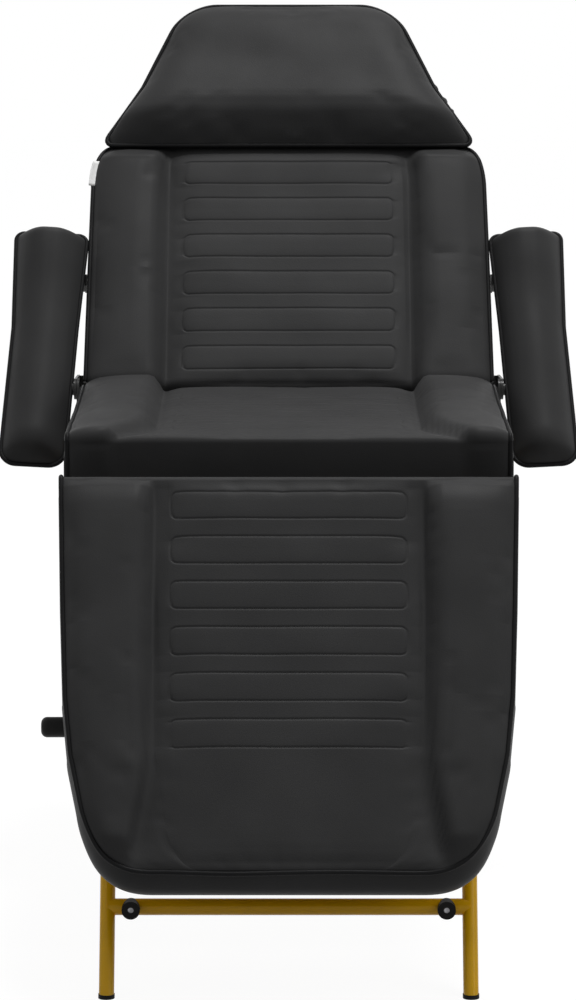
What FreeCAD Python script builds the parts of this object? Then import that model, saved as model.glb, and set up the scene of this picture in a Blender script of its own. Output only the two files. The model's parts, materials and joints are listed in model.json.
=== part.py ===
import FreeCAD, Part
import math
import os

# Beauty chair, millimetres. +Z up, the foot end faces -Y, +X is the sitter's left.
# Every section is drawn lying flat, level with the seat, and then tilted about its hinge.

Vector = FreeCAD.Vector

# Driving dimensions: seat
seat_width = 600.0
seat_depth = 541.0
seat_height = 703.0
cushion_thickness = 70.0
bolster_rise = 13.0
bolster_width = 113.0
groove_depth = 6.0
side_tuck = 7.0
draw_in = 4.0
lip_radius = 30.0
end_gap = 1.5
board_thickness = 12.0
board_inset = 22.0
rib_pitch = 64.6
rib_length = 39.0
rib_inset = 144.0
rib_rise = 5.0
rib_count = 6
rib_start_seat = 64.0
rib_start_leg = 27.0
rib_start_back = 31.0
rib_end_gap = 25.0

# Legrest
leg_angle = 57.6
leg_length = 562.0
leg_taper_run = 181.0
leg_taper_inset = 15.0
leg_corner_inset = 51.0
leg_corner_run = 27.0
leg_end_inset = 95.0
leg_hinge_drop = 86.0

# Backrest
back_angle = 51.4
back_raise = 20.0
back_hinge_drop = 3.0
back_length = 640.0
shoulder_run = 296.0
shoulder_inset = 9.5
pillow_cover = 222.0
pillow_over = 20.0
pillow_inset = 28.0
pillow_top_inset = 145.0
pillow_height = 58.0
pillow_corner = 30.0
pillow_nose_inset = 34.0
pillow_mid_share = 0.55
pillow_nose_share = 0.8
hood_depth = 150.0
hood_wall = 2.0
soft_gap = 0.6

# Armrests
arm_length = 405.0
arm_width = 94.0
arm_offset = 47.5
arm_splay = 3.4
arm_head = 36.0
arm_pad_height = 40.0
arm_pad_inset = 20.0
arm_corner = 30.0
arm_mid_share = 0.5
arm_board_thickness = 10.0
arm_pivot_run = 105.0
arm_pivot_drop = 32.0
arm_raise = 100.0

# Frame tubes
rail_diameter = 22.0
leg_tube_diameter = 20.0
section_tube_diameter = 20.0
section_cross_diameter = 18.0
tube_wall = 1.5
frame_inset = 62.0
leg_frame_inset = 93.0
foot_front = -268.5
foot_rear = 812.0
leg_top_front = 46.0
leg_top_rear = 495.0
crossbar_height = 108.5
rail_inset = 22.0
cross_rail_inset = 76.0
cross_rail_diameter = 20.0
foot_cap_height = 5.0
foot_cap_margin = 0.8
foot_plug_length = 18.0
fit_gap = 0.3

# Bumpers on the front crossbar
bumper_diameter = 24.0
bumper_height = 12.0
bumper_gap = 0.5
screw_diameter = 8.0
screw_recess = 3.0

# Hinges
plate_thickness = 3.5
plate_gap = 0.6
hinge_eye_radius = 15.0
hinge_bolt_diameter = 12.0
bolt_head_height = 2.5
bolt_head_diameter = 18.0
lug_thickness = 4.0
lug_eye_radius = 11.0
pin_diameter = 8.0
pin_end = 2.0
hinge_bar_height = 18.0
hinge_arm_along = 62.0
back_tube_start = 44.0

# Gas springs
back_spring_inset = 92.0
spring_lug_drop_back = 34.0
leg_spring_along = 290.0
leg_spring_drop = 34.0
leg_spring_open_angle = 140.0
cylinder_diameter = 28.0
rod_diameter = 12.0
rod_reach_share = 0.9
eye_radius = 12.0
eye_width = 18.0
spring_neck = 50.0
spring_stem_diameter = 14.0
lug_gap = 0.8
spring_lug_thickness = 5.0
spring_lug_width = 26.0

# Release levers
shaft_diameter = 10.0
crank_length = 30.0
leg_shaft_offset = 2.0
leg_shaft_drop = 11.5
back_shaft_offset = 39.0
grip_diameter = 27.0
grip_end_round = 8.0
leg_grip_reach = 26.0
back_grip_inset = 8.0
crank_gap = 1.5
crank_thickness = 10.0
finger_length = 22.0
lever_travel = 12.0

overrun = 5.0

# Values that follow from the dimensions above
seat_half = seat_width / 2
rib_width = seat_width - 2 * rib_inset
frame_half = seat_half - frame_inset
leg_frame_half = seat_half - leg_frame_inset
leg_taper_length = leg_length - leg_taper_run
leg_taper_half_width = seat_half - leg_taper_inset
leg_corner_length = leg_length - leg_corner_run
leg_corner_half_width = seat_half - leg_corner_inset
leg_end_half_width = seat_half - leg_end_inset
back_shoulder_length = back_length - shoulder_run
back_shoulder_half_width = seat_half - shoulder_inset
pillow_start = back_length - pillow_cover
pillow_end = back_length + pillow_over
pillow_half_width = seat_half - pillow_inset
pillow_top_half_width = seat_half - pillow_top_inset
rib_room_back = pillow_start - rib_start_back - rib_length - rib_end_gap
arm_middle = seat_half + arm_offset
arm_pivot_along = back_shoulder_length - arm_pivot_run
arm_low_end = arm_pivot_along + arm_head - arm_length
leg_shaft_along = leg_spring_along + leg_shaft_offset
leg_grip_end = seat_half + leg_grip_reach
back_grip_end = seat_half - back_grip_inset
rail_radius = rail_diameter / 2
leg_radius = leg_tube_diameter / 2
section_radius = section_tube_diameter / 2
board_top = seat_height - cushion_thickness
board_under = board_top - board_thickness
rail_height = board_under - rail_radius
leg_hinge = Vector(0, 0, seat_height - leg_hinge_drop)
back_hinge = Vector(0, seat_depth, seat_height - back_hinge_drop)
leg_tube_height = board_under - section_radius
back_tube_height = board_under - section_radius
plate_inner = seat_half + side_tuck / 2
plate_outer = plate_inner + plate_thickness
arm_plate_inner = plate_outer + plate_gap
arm_plate_outer = arm_plate_inner + plate_thickness


# Plain shapes
def block(x0, x1, y0, y1, z0, z1):
    return Part.makeBox(x1 - x0, y1 - y0, z1 - z0, Vector(x0, y0, z0))


def rod(start, end, radius):
    run = end.sub(start)
    return Part.makeCylinder(radius, run.Length, start, run)


def tube(start, end, diameter):
    outer = rod(start, end, diameter / 2)
    run = end.sub(start)
    run.normalize()
    reach = run.multiply(overrun)
    return outer.cut(rod(start.sub(reach), end.add(reach), diameter / 2 - tube_wall))


def rod_x(x0, x1, y, z, radius):
    return rod(Vector(x0, y, z), Vector(x1, y, z), radius)


def mirror_x(shape):
    return shape.mirror(Vector(0, 0, 0), Vector(1, 0, 0))


def group(shapes):
    return Part.makeCompound(shapes)


def line(a, b):
    return Part.LineSegment(a, b).toShape()


def arc(a, middle, b):
    return Part.Arc(a, middle, b).toShape()


def prism(edges, direction):
    return Part.Face(Part.Wire(edges)).extrude(direction)


def plate_link(x0, x1, a, b, radius):
    # A flat link across X with round ends at two (y, z) points.
    ya, za = a
    yb, zb = b
    reach = math.hypot(yb - ya, zb - za)
    side = Vector(0, -(zb - za) / reach * radius, (yb - ya) / reach * radius)
    start = Vector(x0, ya, za)
    end = Vector(x0, yb, zb)
    corners = [start.add(side), end.add(side), end.sub(side), start.sub(side)]
    edges = [line(corners[i], corners[(i + 1) % 4]) for i in range(4)]
    bar = prism(edges, Vector(x1 - x0, 0, 0))
    ends = [rod_x(x0, x1, ya, za, radius), rod_x(x0, x1, yb, zb, radius)]
    return bar.fuse(ends).removeSplitter()


# Tilting the sections from flat to the pose of the photograph
def tilt(shape, hinge, angle):
    turned = shape.copy()
    turned.rotate(hinge, Vector(1, 0, 0), angle)
    return turned


def tilt_point(point, hinge, angle):
    turned = FreeCAD.Rotation(Vector(1, 0, 0), angle).multVec(point.sub(hinge))
    return turned.add(hinge)


def on_leg(shape):
    return tilt(shape, leg_hinge, leg_angle)


def on_back(shape):
    return tilt(shape, back_hinge, back_angle)


# Cushions
def cushion_section(y, width):
    # Across the bed: bulged sides, two bolsters and a lightly crowned centre.
    half = width / 2
    bottom = seat_height - cushion_thickness
    edge = seat_height
    inner = half - bolster_width
    crest = half - bolster_width / 2

    def at(x, z):
        return Vector(x, y, z)

    right = half - side_tuck
    edges = [
        line(at(-right, bottom), at(right, bottom)),
        arc(at(right, bottom), at(half, (bottom + edge) / 2), at(right, edge)),
        arc(at(right, edge), at(crest, seat_height + bolster_rise), at(inner, edge - groove_depth)),
        arc(at(inner, edge - groove_depth), at(0, edge), at(-inner, edge - groove_depth)),
        arc(at(-inner, edge - groove_depth), at(-crest, seat_height + bolster_rise), at(-right, edge)),
        arc(at(-right, edge), at(-half, (bottom + edge) / 2), at(-right, bottom)),
    ]
    return Part.Wire(edges)


def cushion_bar(y0, y1):
    middle = (y0 + y1) / 2
    sections = [cushion_section(y0, seat_width), cushion_section(middle, seat_width - 2 * draw_in),
                cushion_section(y1, seat_width)]
    return Part.makeLoft(sections, True, False)


def side_profile(y0, y1, low_round, high_round):
    # Seen from the side: the two top corners are rounded off.
    x = -seat_width
    bottom = seat_height - cushion_thickness
    top = seat_height + bolster_rise + end_gap
    turn = 1 - math.sqrt(0.5)
    a = Vector(x, y0, top - low_round)
    b = Vector(x, y0 + low_round, top)
    c = Vector(x, y1 - high_round, top)
    d = Vector(x, y1, top - high_round)
    edges = [
        line(Vector(x, y0, bottom), a),
        arc(a, Vector(x, y0 + low_round * turn, top - low_round * turn), b),
        line(b, c),
        arc(c, Vector(x, y1 - high_round * turn, top - high_round * turn), d),
        line(d, Vector(x, y1, bottom)),
        line(Vector(x, y1, bottom), Vector(x, y0, bottom)),
    ]
    return prism(edges, Vector(2 * seat_width, 0, 0))


def ribs(start, direction, pitch):
    # Sewn cross pads on the recessed centre, each a shallow barrel.
    base = seat_height - groove_depth
    pads = []
    for i in range(rib_count):
        near = start + direction * i * pitch
        far = near + direction * rib_length
        x = -rib_width / 2
        top = Vector(x, (near + far) / 2, seat_height + rib_rise)
        a = Vector(x, near, base)
        b = Vector(x, far, base)
        pads.append(prism([arc(a, top, b), line(b, a)], Vector(rib_width, 0, 0)))
    return pads


def seat_cushion():
    body = cushion_bar(0, seat_depth)
    body = body.common(side_profile(end_gap, seat_depth - end_gap, lip_radius, lip_radius))
    return body.fuse(ribs(rib_start_seat, 1, rib_pitch)).removeSplitter()


def leg_outline(inset, z):
    # Plan of the legrest, straight sides that draw in to round lower corners.
    def at(half, along, side):
        return Vector(side * (half - inset), -along, z)

    start = end_gap + inset
    mid_half = (leg_taper_half_width + leg_corner_half_width) / 2 + side_tuck
    mid_along = (leg_taper_length + leg_corner_length) / 2
    end = leg_length - inset
    turn_half = (leg_corner_half_width + leg_end_half_width) / 2 + side_tuck
    turn_along = (leg_corner_length + leg_length) / 2 + end_gap - inset / 2
    corner = leg_corner_length - inset / 2
    edges = [line(at(seat_half, start, -1), at(seat_half, start, 1))]
    for side in (1, -1):
        edges += [
            line(at(seat_half, start, side), at(leg_taper_half_width, leg_taper_length, side)),
            arc(at(leg_taper_half_width, leg_taper_length, side), at(mid_half, mid_along, side),
                at(leg_corner_half_width, corner, side)),
            arc(at(leg_corner_half_width, corner, side), at(turn_half, turn_along, side),
                at(leg_end_half_width, end, side)),
        ]
    edges.append(line(at(leg_end_half_width, end, 1), at(leg_end_half_width, end, -1)))
    return Part.__sortEdges__(edges)


def legrest_cushion():
    body = cushion_bar(-leg_length - overrun, 0)
    height = cushion_thickness + bolster_rise + overrun
    body = body.common(prism(leg_outline(0, board_top), Vector(0, 0, height)))
    body = body.common(side_profile(-leg_length, -end_gap, lip_radius, side_tuck))
    return body.fuse(ribs(-rib_start_leg, -1, rib_pitch)).removeSplitter()


def back_outline(inset, z):
    # Plan of the backrest: near parallel sides, round shoulders and a tapered top.
    def at(half, along, side):
        return Vector(side * (half - inset), seat_depth + along, z)

    start = end_gap + inset
    shoulder_half = (back_shoulder_half_width + pillow_half_width) / 2 + side_tuck
    shoulder_along = (back_shoulder_length + pillow_start) / 2
    neck_half = pillow_half_width - side_tuck
    top = back_length - inset
    top_half = pillow_top_half_width - pillow_corner / 2
    edges = [line(at(seat_half, start, -1), at(seat_half, start, 1))]
    for side in (1, -1):
        edges += [
            line(at(seat_half, start, side), at(back_shoulder_half_width, back_shoulder_length, side)),
            arc(at(back_shoulder_half_width, back_shoulder_length, side),
                at(shoulder_half, shoulder_along, side), at(neck_half, pillow_start, side)),
            line(at(neck_half, pillow_start, side), at(top_half, top, side)),
        ]
    edges.append(line(at(top_half, top, 1), at(top_half, top, -1)))
    return Part.__sortEdges__(edges)


def backrest_cushion():
    y0 = seat_depth
    y1 = seat_depth + back_length
    body = cushion_bar(y0, y1)
    height = cushion_thickness + bolster_rise + overrun
    body = body.common(prism(back_outline(0, board_top), Vector(0, 0, height)))
    body = body.common(side_profile(y0 + end_gap, y1, lip_radius, lip_radius))
    flat_top = seat_height - groove_depth - soft_gap
    above = block(-seat_width, seat_width, y0 + pillow_start - lip_radius / 2, y1 + overrun,
                  flat_top, seat_height + 2 * bolster_rise)
    body = body.cut(above)
    pitch = rib_room_back / (rib_count - 1)
    return body.fuse(ribs(y0 + rib_start_back, 1, pitch)).removeSplitter()


def rounded_outline(corners, radius, z):
    # A plan outline with equal round corners; corners run round in order.
    count = len(corners)
    starts = []
    middles = []
    ends = []
    for i in range(count):
        here = Vector(corners[i][0], corners[i][1], z)
        before = Vector(corners[i - 1][0], corners[i - 1][1], z).sub(here)
        after = Vector(corners[(i + 1) % count][0], corners[(i + 1) % count][1], z).sub(here)
        half = before.getAngle(after) / 2
        before.normalize()
        after.normalize()
        way = before.add(after)
        way.normalize()
        reach = radius / math.tan(half)
        starts.append(here.add(Vector(before).multiply(reach)))
        ends.append(here.add(Vector(after).multiply(reach)))
        middles.append(here.add(way.multiply(radius / math.sin(half) - radius)))
    edges = []
    for i in range(count):
        edges.append(arc(starts[i], middles[i], ends[i]))
        edges.append(line(ends[i], starts[(i + 1) % count]))
    return Part.Wire(edges)


def pillow_outline(inset, z):
    y0 = seat_depth + pillow_start + inset
    y1 = seat_depth + pillow_end - inset
    low = pillow_half_width - inset
    high = pillow_top_half_width - inset
    corners = [(-low, y0), (low, y0), (high, y1), (-high, y1)]
    return rounded_outline(corners, pillow_corner, z)


def headrest_pillow():
    base = seat_height - groove_depth
    sections = [pillow_outline(side_tuck, base),
                pillow_outline(0, base + pillow_height * (1 - pillow_mid_share)),
                pillow_outline(side_tuck, base + pillow_height * pillow_nose_share),
                pillow_outline(pillow_nose_inset, base + pillow_height)]
    return Part.makeLoft(sections, True, False)


def hood_prism(extra, z0, z1, start):
    def at(half, along, side):
        return Vector(side * (half + extra), seat_depth + along, z0)

    share = (start - pillow_start) / (back_length - pillow_start)
    top_half = pillow_top_half_width - pillow_corner / 2
    wide = pillow_half_width - side_tuck
    low = wide + (top_half - wide) * share
    top = back_length + extra
    corners = [at(low, start, -1), at(low, start, 1), at(top_half, top, 1), at(top_half, top, -1)]
    edges = [line(corners[i], corners[(i + 1) % 4]) for i in range(4)]
    return prism(edges, Vector(0, 0, z1 - z0))


def headrest_hood():
    # A pocket of the cover that slips over the top end of the backrest, open below.
    start = back_length - hood_depth
    inner_low = board_under - soft_gap
    inner_high = seat_height - groove_depth
    inner_side = 2 * soft_gap
    outer = hood_prism(inner_side + hood_wall, inner_low - hood_wall, inner_high, start)
    inner = hood_prism(inner_side, inner_low, inner_high + overrun, start - overrun)
    return outer.cut(inner)


# Boards
def seat_board():
    inset = board_inset
    return block(-seat_half + inset, seat_half - inset, inset, seat_depth - inset, board_under, board_top)


def legrest_board():
    return prism(leg_outline(board_inset, board_under), Vector(0, 0, board_thickness))


def backrest_board():
    return prism(back_outline(board_inset, board_under), Vector(0, 0, board_thickness))


# Base frame
def seat_rail(side):
    start = Vector(side * frame_half, rail_inset, rail_height)
    end = Vector(side * frame_half, seat_depth - rail_inset, rail_height)
    return tube(start, end, rail_diameter)


def rail_core(side):
    start = Vector(side * frame_half, 0, rail_height)
    end = Vector(side * frame_half, seat_depth, rail_height)
    return rod(start, end, rail_radius)


def leg_line(foot, top, side):
    return Vector(side * frame_half, foot, 0), Vector(side * frame_half, top, rail_height)


def leg_core(foot, top, side, radius):
    start, end = leg_line(foot, top, side)
    below = end.sub(start).multiply(overrun / rail_height)
    return rod(start.sub(below.multiply(2)), end, radius)


def floor_slab(z0, z1):
    reach = 2 * (seat_depth + leg_length)
    return block(-reach, reach, -reach, reach, z0, z1)


def leg(foot, top, side):
    outer = leg_core(foot, top, side, leg_radius)
    bore = leg_core(foot, top, side, leg_radius - tube_wall)
    below = floor_slab(-overrun * 4, foot_cap_height)
    return outer.cut([bore, rail_core(side), below])


def foot_cap(foot, top, side):
    pad = leg_core(foot, top, side, leg_radius + foot_cap_margin)
    pad = pad.common(floor_slab(0, foot_cap_height))
    plug = leg_core(foot, top, side, leg_radius - tube_wall)
    plug = plug.common(floor_slab(foot_cap_height, foot_cap_height + foot_plug_length))
    return pad.fuse(plug).removeSplitter()


def along_leg(foot, top, z):
    return foot + (top - foot) * z / rail_height


def crossbar(foot, top, z):
    y = along_leg(foot, top, z)
    bar = tube(Vector(-frame_half, y, z), Vector(frame_half, y, z), rail_diameter)
    return bar.cut([leg_core(foot, top, side, leg_radius) for side in (-1, 1)])


def seat_cross_rail(y):
    bar = tube(Vector(-frame_half, y, rail_height), Vector(frame_half, y, rail_height), cross_rail_diameter)
    return bar.cut([rail_core(side) for side in (-1, 1)])


def cross_rail_places():
    return [cross_rail_inset, leg_spring_base().y, seat_depth - cross_rail_inset]


def rail_plug(side, y, way):
    start = Vector(side * frame_half, y - way * foot_plug_length, rail_height)
    end = Vector(side * frame_half, y, rail_height)
    plug = rod(start, end, rail_radius - tube_wall)
    cap = rod(end, end.add(Vector(0, way * tube_wall * 2, 0)), rail_radius)
    return plug.fuse(cap).removeSplitter()


# Legrest stop: where the tubes of the legrest meet the bumpers
def crossbar_point():
    return Vector(0, along_leg(foot_front, leg_top_front, crossbar_height), crossbar_height)


def leg_stop_angle():
    # Angle of the legrest at which its tubes lie on the bumpers' upper rims.
    rim = crossbar_point().add(Vector(0, -rail_radius - bumper_height, bumper_diameter / 2))
    point = rim.sub(leg_hinge)
    depth = leg_hinge.z - leg_tube_height + section_radius
    reach = math.hypot(point.y, point.z)
    heading = math.atan2(-point.z, -point.y)
    return math.degrees(heading - math.asin((depth + bumper_gap) / reach))


def bumper(side):
    centre = crossbar_point()
    centre.x = side * leg_frame_half
    way = Vector(0, -1, 0)
    face = centre.add(Vector(way).multiply(rail_radius + bumper_height))
    puck = rod(centre, face, bumper_diameter / 2)
    y_bar = rod_x(-seat_width, seat_width, centre.y, centre.z, rail_radius)
    sunk = face.sub(Vector(way).multiply(screw_recess))
    bore = rod(centre, face.add(Vector(way).multiply(overrun)), screw_diameter / 2)
    screw = rod(centre, sunk, screw_diameter / 2).cut(y_bar)
    return puck.cut([y_bar, bore]), screw


# Hinge of the backrest
def back_hinge_plate(side):
    x0, x1 = plate_inner, plate_outer
    y, z = back_hinge.y, back_hinge.z
    foot_y = y - hinge_eye_radius
    bar_top = board_under
    bar_low = board_under - hinge_bar_height
    plate = plate_link(x0, x1, (y, z), (foot_y, bar_low + hinge_eye_radius), hinge_eye_radius)
    bar = block(frame_half, x0, foot_y - hinge_eye_radius, foot_y, bar_low, bar_top)
    bar = bar.cut(rail_core(1))
    bore = rod_x(x0 - overrun, x1 + overrun, y, z, hinge_bolt_diameter / 2)
    shape = plate.cut(bore).fuse(bar).removeSplitter()
    return shape if side > 0 else mirror_x(shape)


def back_hinge_bolt(side):
    y, z = back_hinge.y, back_hinge.z
    shank = rod_x(plate_inner, arm_plate_outer, y, z, hinge_bolt_diameter / 2)
    head = rod_x(arm_plate_outer + fit_gap, arm_plate_outer + fit_gap + bolt_head_height, y, z,
                 bolt_head_diameter / 2)
    link = rod_x(arm_plate_outer, arm_plate_outer + fit_gap, y, z, hinge_bolt_diameter / 2)
    shape = shank.fuse([link, head]).removeSplitter()
    return shape if side > 0 else mirror_x(shape)


def back_hinge_arm(side):
    # From the hinge bolt down the side and in under the board to the side tube.
    y, z = back_hinge.y, back_hinge.z
    x0, x1 = arm_plate_inner, arm_plate_outer
    end = (y + hinge_arm_along, back_tube_height)
    arm = plate_link(x0, x1, (y, z), end, hinge_eye_radius)
    bar = block(frame_half, x0, end[0] - section_radius, end[0] + section_radius,
                back_tube_height - section_radius, board_under)
    bar = bar.cut(back_tube_core(1))
    bore = rod_x(x0 - overrun, x1 + overrun, y, z, hinge_bolt_diameter / 2 + fit_gap)
    shape = arm.cut(bore).fuse(bar).removeSplitter()
    return shape if side > 0 else mirror_x(shape)


# Hinge of the legrest
def leg_hinge_lug(side):
    x1 = frame_half - rail_radius
    x0 = x1 - lug_thickness
    y, z = leg_hinge.y, leg_hinge.z
    tail = (rail_inset + 2 * lug_eye_radius, rail_height)
    lug = plate_link(x0, x1, (y, z), tail, lug_eye_radius)
    shape = lug.cut([rod_x(x0 - overrun, x1 + overrun, y, z, pin_diameter / 2), rail_core(1), seat_board()])
    return shape if side > 0 else mirror_x(shape)


def leg_hinge_pin(side):
    x1 = frame_half - rail_radius + pin_end
    x0 = leg_frame_half + section_radius - pin_end
    shape = rod_x(x0, x1, leg_hinge.y, leg_hinge.z, pin_diameter / 2)
    return shape if side > 0 else mirror_x(shape)


def legrest_lug(side):
    x0 = leg_frame_half + section_radius
    x1 = x0 + lug_thickness
    y, z = leg_hinge.y, leg_hinge.z
    tail = (-rail_inset - 2 * lug_eye_radius, leg_tube_height)
    lug = plate_link(x0, x1, (y, z), tail, lug_eye_radius)
    bore = rod_x(x0 - overrun, x1 + overrun, y, z, pin_diameter / 2 + fit_gap)
    shape = lug.cut([bore, legrest_board()])
    return shape if side > 0 else mirror_x(shape)


# Tubes of the legrest, drawn flat
def leg_tube_end():
    return leg_length - board_inset + rail_inset / 4


def leg_shaft_bore():
    return rod_x(-seat_width, seat_width, -leg_shaft_along, leg_hinge.z - leg_shaft_drop,
                 shaft_diameter / 2 + fit_gap)


def leg_tube(side):
    start = Vector(side * leg_frame_half, -rail_inset, leg_tube_height)
    end = Vector(side * leg_frame_half, -leg_tube_end(), leg_tube_height)
    return tube(start, end, section_tube_diameter).cut(leg_shaft_bore())


def leg_tube_core(side):
    start = Vector(side * leg_frame_half, 0, leg_tube_height)
    end = Vector(side * leg_frame_half, -leg_length, leg_tube_height)
    return rod(start, end, section_radius)


def leg_cross_places():
    near = 2 * rail_inset + section_tube_diameter * 2
    return [near, leg_spring_along + section_tube_diameter * 2, leg_tube_end() - section_tube_diameter * 2]


def leg_cross_tube(along):
    start = Vector(-leg_frame_half, -along, leg_tube_height)
    end = Vector(leg_frame_half, -along, leg_tube_height)
    return tube(start, end, section_cross_diameter).cut([leg_tube_core(side) for side in (-1, 1)])


def tube_plug(x, y, z, way):
    start = Vector(x, y - way * foot_plug_length, z)
    end = Vector(x, y, z)
    plug = rod(start, end, section_radius - tube_wall)
    cap = rod(end, end.add(Vector(0, way * tube_wall * 2, 0)), section_radius)
    return plug.fuse(cap).removeSplitter()


# Tubes of the backrest, drawn flat
def back_tube_end():
    return pillow_start - section_tube_diameter


def back_tube(side):
    start = Vector(side * frame_half, seat_depth + back_tube_start, back_tube_height)
    end = Vector(side * frame_half, seat_depth + back_tube_end(), back_tube_height)
    return tube(start, end, section_tube_diameter).cut(back_shaft_bore())


def back_tube_core(side):
    start = Vector(side * frame_half, seat_depth, back_tube_height)
    end = Vector(side * frame_half, seat_depth + back_length, back_tube_height)
    return rod(start, end, section_radius)


def back_spring_along():
    return back_tube_end() - back_spring_inset


def back_spring_radius():
    return math.hypot(back_spring_along(), back_hinge.z - back_spring_height())


def back_spring_height():
    return back_tube_height - spring_lug_drop_back


def back_shaft_along():
    return back_spring_along() + back_shaft_offset


def back_shaft_height():
    return back_tube_height - section_radius / 2


def back_shaft_bore():
    return rod_x(-seat_width, seat_width, seat_depth + back_shaft_along(), back_shaft_height(),
                 shaft_diameter / 2 + fit_gap)


def back_cross_places():
    return [2 * section_tube_diameter + hinge_arm_along + section_tube_diameter * 2,
            back_spring_along(), back_tube_end() - section_tube_diameter / 2]


def back_cross_tube(along):
    start = Vector(-frame_half, seat_depth + along, back_tube_height)
    end = Vector(frame_half, seat_depth + along, back_tube_height)
    return tube(start, end, section_cross_diameter).cut([back_tube_core(side) for side in (-1, 1)])


# Gas springs: both ends sit equally far from the hinge, so cylinder and rod stay in line
def back_spring_base():
    return back_hinge.sub(Vector(0, 0, back_spring_radius()))


def back_spring_top():
    flat = Vector(0, seat_depth + back_spring_along(), back_spring_height())
    return tilt_point(flat, back_hinge, back_angle)


def leg_spring_top_flat():
    return Vector(0, -leg_spring_along, leg_hinge.z - leg_spring_drop)


def leg_spring_top():
    return tilt_point(leg_spring_top_flat(), leg_hinge, leg_angle)


def leg_spring_base():
    flat = leg_spring_top_flat()
    return tilt_point(flat, leg_hinge, leg_spring_open_angle)


def spring_lengths(hinge, base, top, low, high):
    shortest = tilt_point(top, hinge, low).sub(base).Length
    longest = tilt_point(top, hinge, high).sub(base).Length
    return min(shortest, longest), max(shortest, longest)


def spring_parts(base, top, shortest, longest):
    run = top.sub(base)
    run.normalize()
    half = eye_width / 2
    bore = pin_diameter / 2 + fit_gap
    body_end = shortest - eye_radius - cylinder_diameter / 2
    root = base.add(Vector(run).multiply(eye_radius - pin_end))
    start = base.add(Vector(run).multiply(spring_neck))
    mouth = base.add(Vector(run).multiply(body_end))
    eye = rod_x(-half, half, base.y, base.z, eye_radius)
    hollow = rod(start, mouth.add(Vector(run).multiply(overrun)), rod_diameter / 2 + fit_gap)
    stem = rod(root, start, spring_stem_diameter / 2)
    body = rod(start, mouth, cylinder_diameter / 2).fuse([stem, eye]).removeSplitter()
    body = body.cut([hollow, rod_x(-half - overrun, half + overrun, base.y, base.z, bore)])
    reach = (shortest - 2 * eye_radius - overrun) * rod_reach_share
    tip = top.sub(Vector(run).multiply(reach))
    neck = top.sub(Vector(run).multiply(eye_radius - pin_end))
    head = rod_x(-half, half, top.y, top.z, eye_radius)
    piston = rod(tip, neck, rod_diameter / 2).fuse(head).removeSplitter()
    piston = piston.cut(rod_x(-half - overrun, half + overrun, top.y, top.z, bore))
    return body, piston


def back_spring():
    base, top = back_spring_base(), back_spring_top()
    lengths = spring_lengths(back_hinge, base, top, -back_angle, back_raise)
    return spring_parts(base, top, lengths[0], lengths[1])


def leg_spring():
    base, top = leg_spring_base(), leg_spring_top()
    lengths = spring_lengths(leg_hinge, base, top, -leg_angle, leg_stop_angle() - leg_angle)
    return spring_parts(base, top, lengths[0], lengths[1])


def lug_pair(pivot, seat_y, seat_z, neighbours):
    # Two plates from a tube to a spring's pivot, one each side of its eye.
    x0 = eye_width / 2 + lug_gap
    x1 = x0 + spring_lug_thickness
    bore = rod_x(-seat_width, seat_width, pivot.y, pivot.z, pin_diameter / 2)
    lugs = []
    for low, high in ((x0, x1), (-x1, -x0)):
        lug = plate_link(low, high, (pivot.y, pivot.z), (seat_y, seat_z), spring_lug_width / 2)
        lugs.append(lug.cut(neighbours + [bore]))
    return group(lugs)


def spring_pin(pivot):
    reach = eye_width / 2 + lug_gap + spring_lug_thickness
    return rod_x(-reach, reach, pivot.y, pivot.z, pin_diameter / 2)


def leg_spring_hanger():
    base = leg_spring_base()
    core = rod_x(-seat_width, seat_width, base.y, rail_height, cross_rail_diameter / 2)
    return lug_pair(base, base.y, rail_height, [core, floor_slab(rail_height, seat_height)])


def back_spring_bracket():
    base = back_spring_base()
    y = along_leg(foot_rear, leg_top_rear, base.z)
    core = rod_x(-seat_width, seat_width, y, base.z, rail_radius)
    return lug_pair(base, y, base.z, [core])


def back_rod_lugs():
    pivot = Vector(0, seat_depth + back_spring_along(), back_spring_height())
    core = rod_x(-seat_width, seat_width, pivot.y, back_tube_height, section_cross_diameter / 2)
    lugs = lug_pair(pivot, pivot.y, back_tube_height, [core, floor_slab(back_tube_height, seat_height)])
    return lugs, spring_pin(pivot)


def leg_rod_lugs():
    pivot = leg_spring_top_flat()
    y = -leg_cross_places()[1]
    core = rod_x(-seat_width, seat_width, y, leg_tube_height, section_cross_diameter / 2)
    lugs = lug_pair(pivot, y, leg_tube_height, [core, floor_slab(leg_tube_height, seat_height)])
    return lugs, spring_pin(pivot)


# Release levers, drawn flat on the right and mirrored where the grip is on the left
def release_lever(y, z, way, tube_half, grip_end):
    crank_start = tube_half + section_radius + crank_gap
    crank_end = crank_start + crank_thickness
    finger_x = eye_width / 2 + lug_gap + spring_lug_thickness + lug_gap
    shaft = rod_x(finger_x, crank_end, y, z, shaft_diameter / 2)
    crank = plate_link(crank_start, crank_end, (y, z), (y + way * crank_length, z), shaft_diameter / 2)
    bar = rod_x(crank_start, grip_end - grip_end_round, y + way * crank_length, z, shaft_diameter / 2)
    finger = plate_link(finger_x, finger_x + crank_thickness, (y, z), (y - way * finger_length, z),
                        shaft_diameter / 2)
    lever = shaft.fuse([crank, bar, finger]).removeSplitter()
    grip = rod_x(crank_end, grip_end, y + way * crank_length, z, grip_diameter / 2)
    rim = [edge for edge in grip.Edges if edge.BoundBox.XMin > grip_end - grip_end_round
           and edge.BoundBox.YLength > shaft_diameter]
    grip = grip.makeFillet(grip_end_round, rim)
    return lever, grip.cut(lever)


def leg_release():
    height = leg_hinge.z - leg_shaft_drop
    lever, grip = release_lever(-leg_shaft_along, height, -1, leg_frame_half, leg_grip_end)
    return mirror_x(lever), mirror_x(grip)


def back_release():
    return release_lever(seat_depth + back_shaft_along(), back_shaft_height(), 1, frame_half, back_grip_end)


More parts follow.
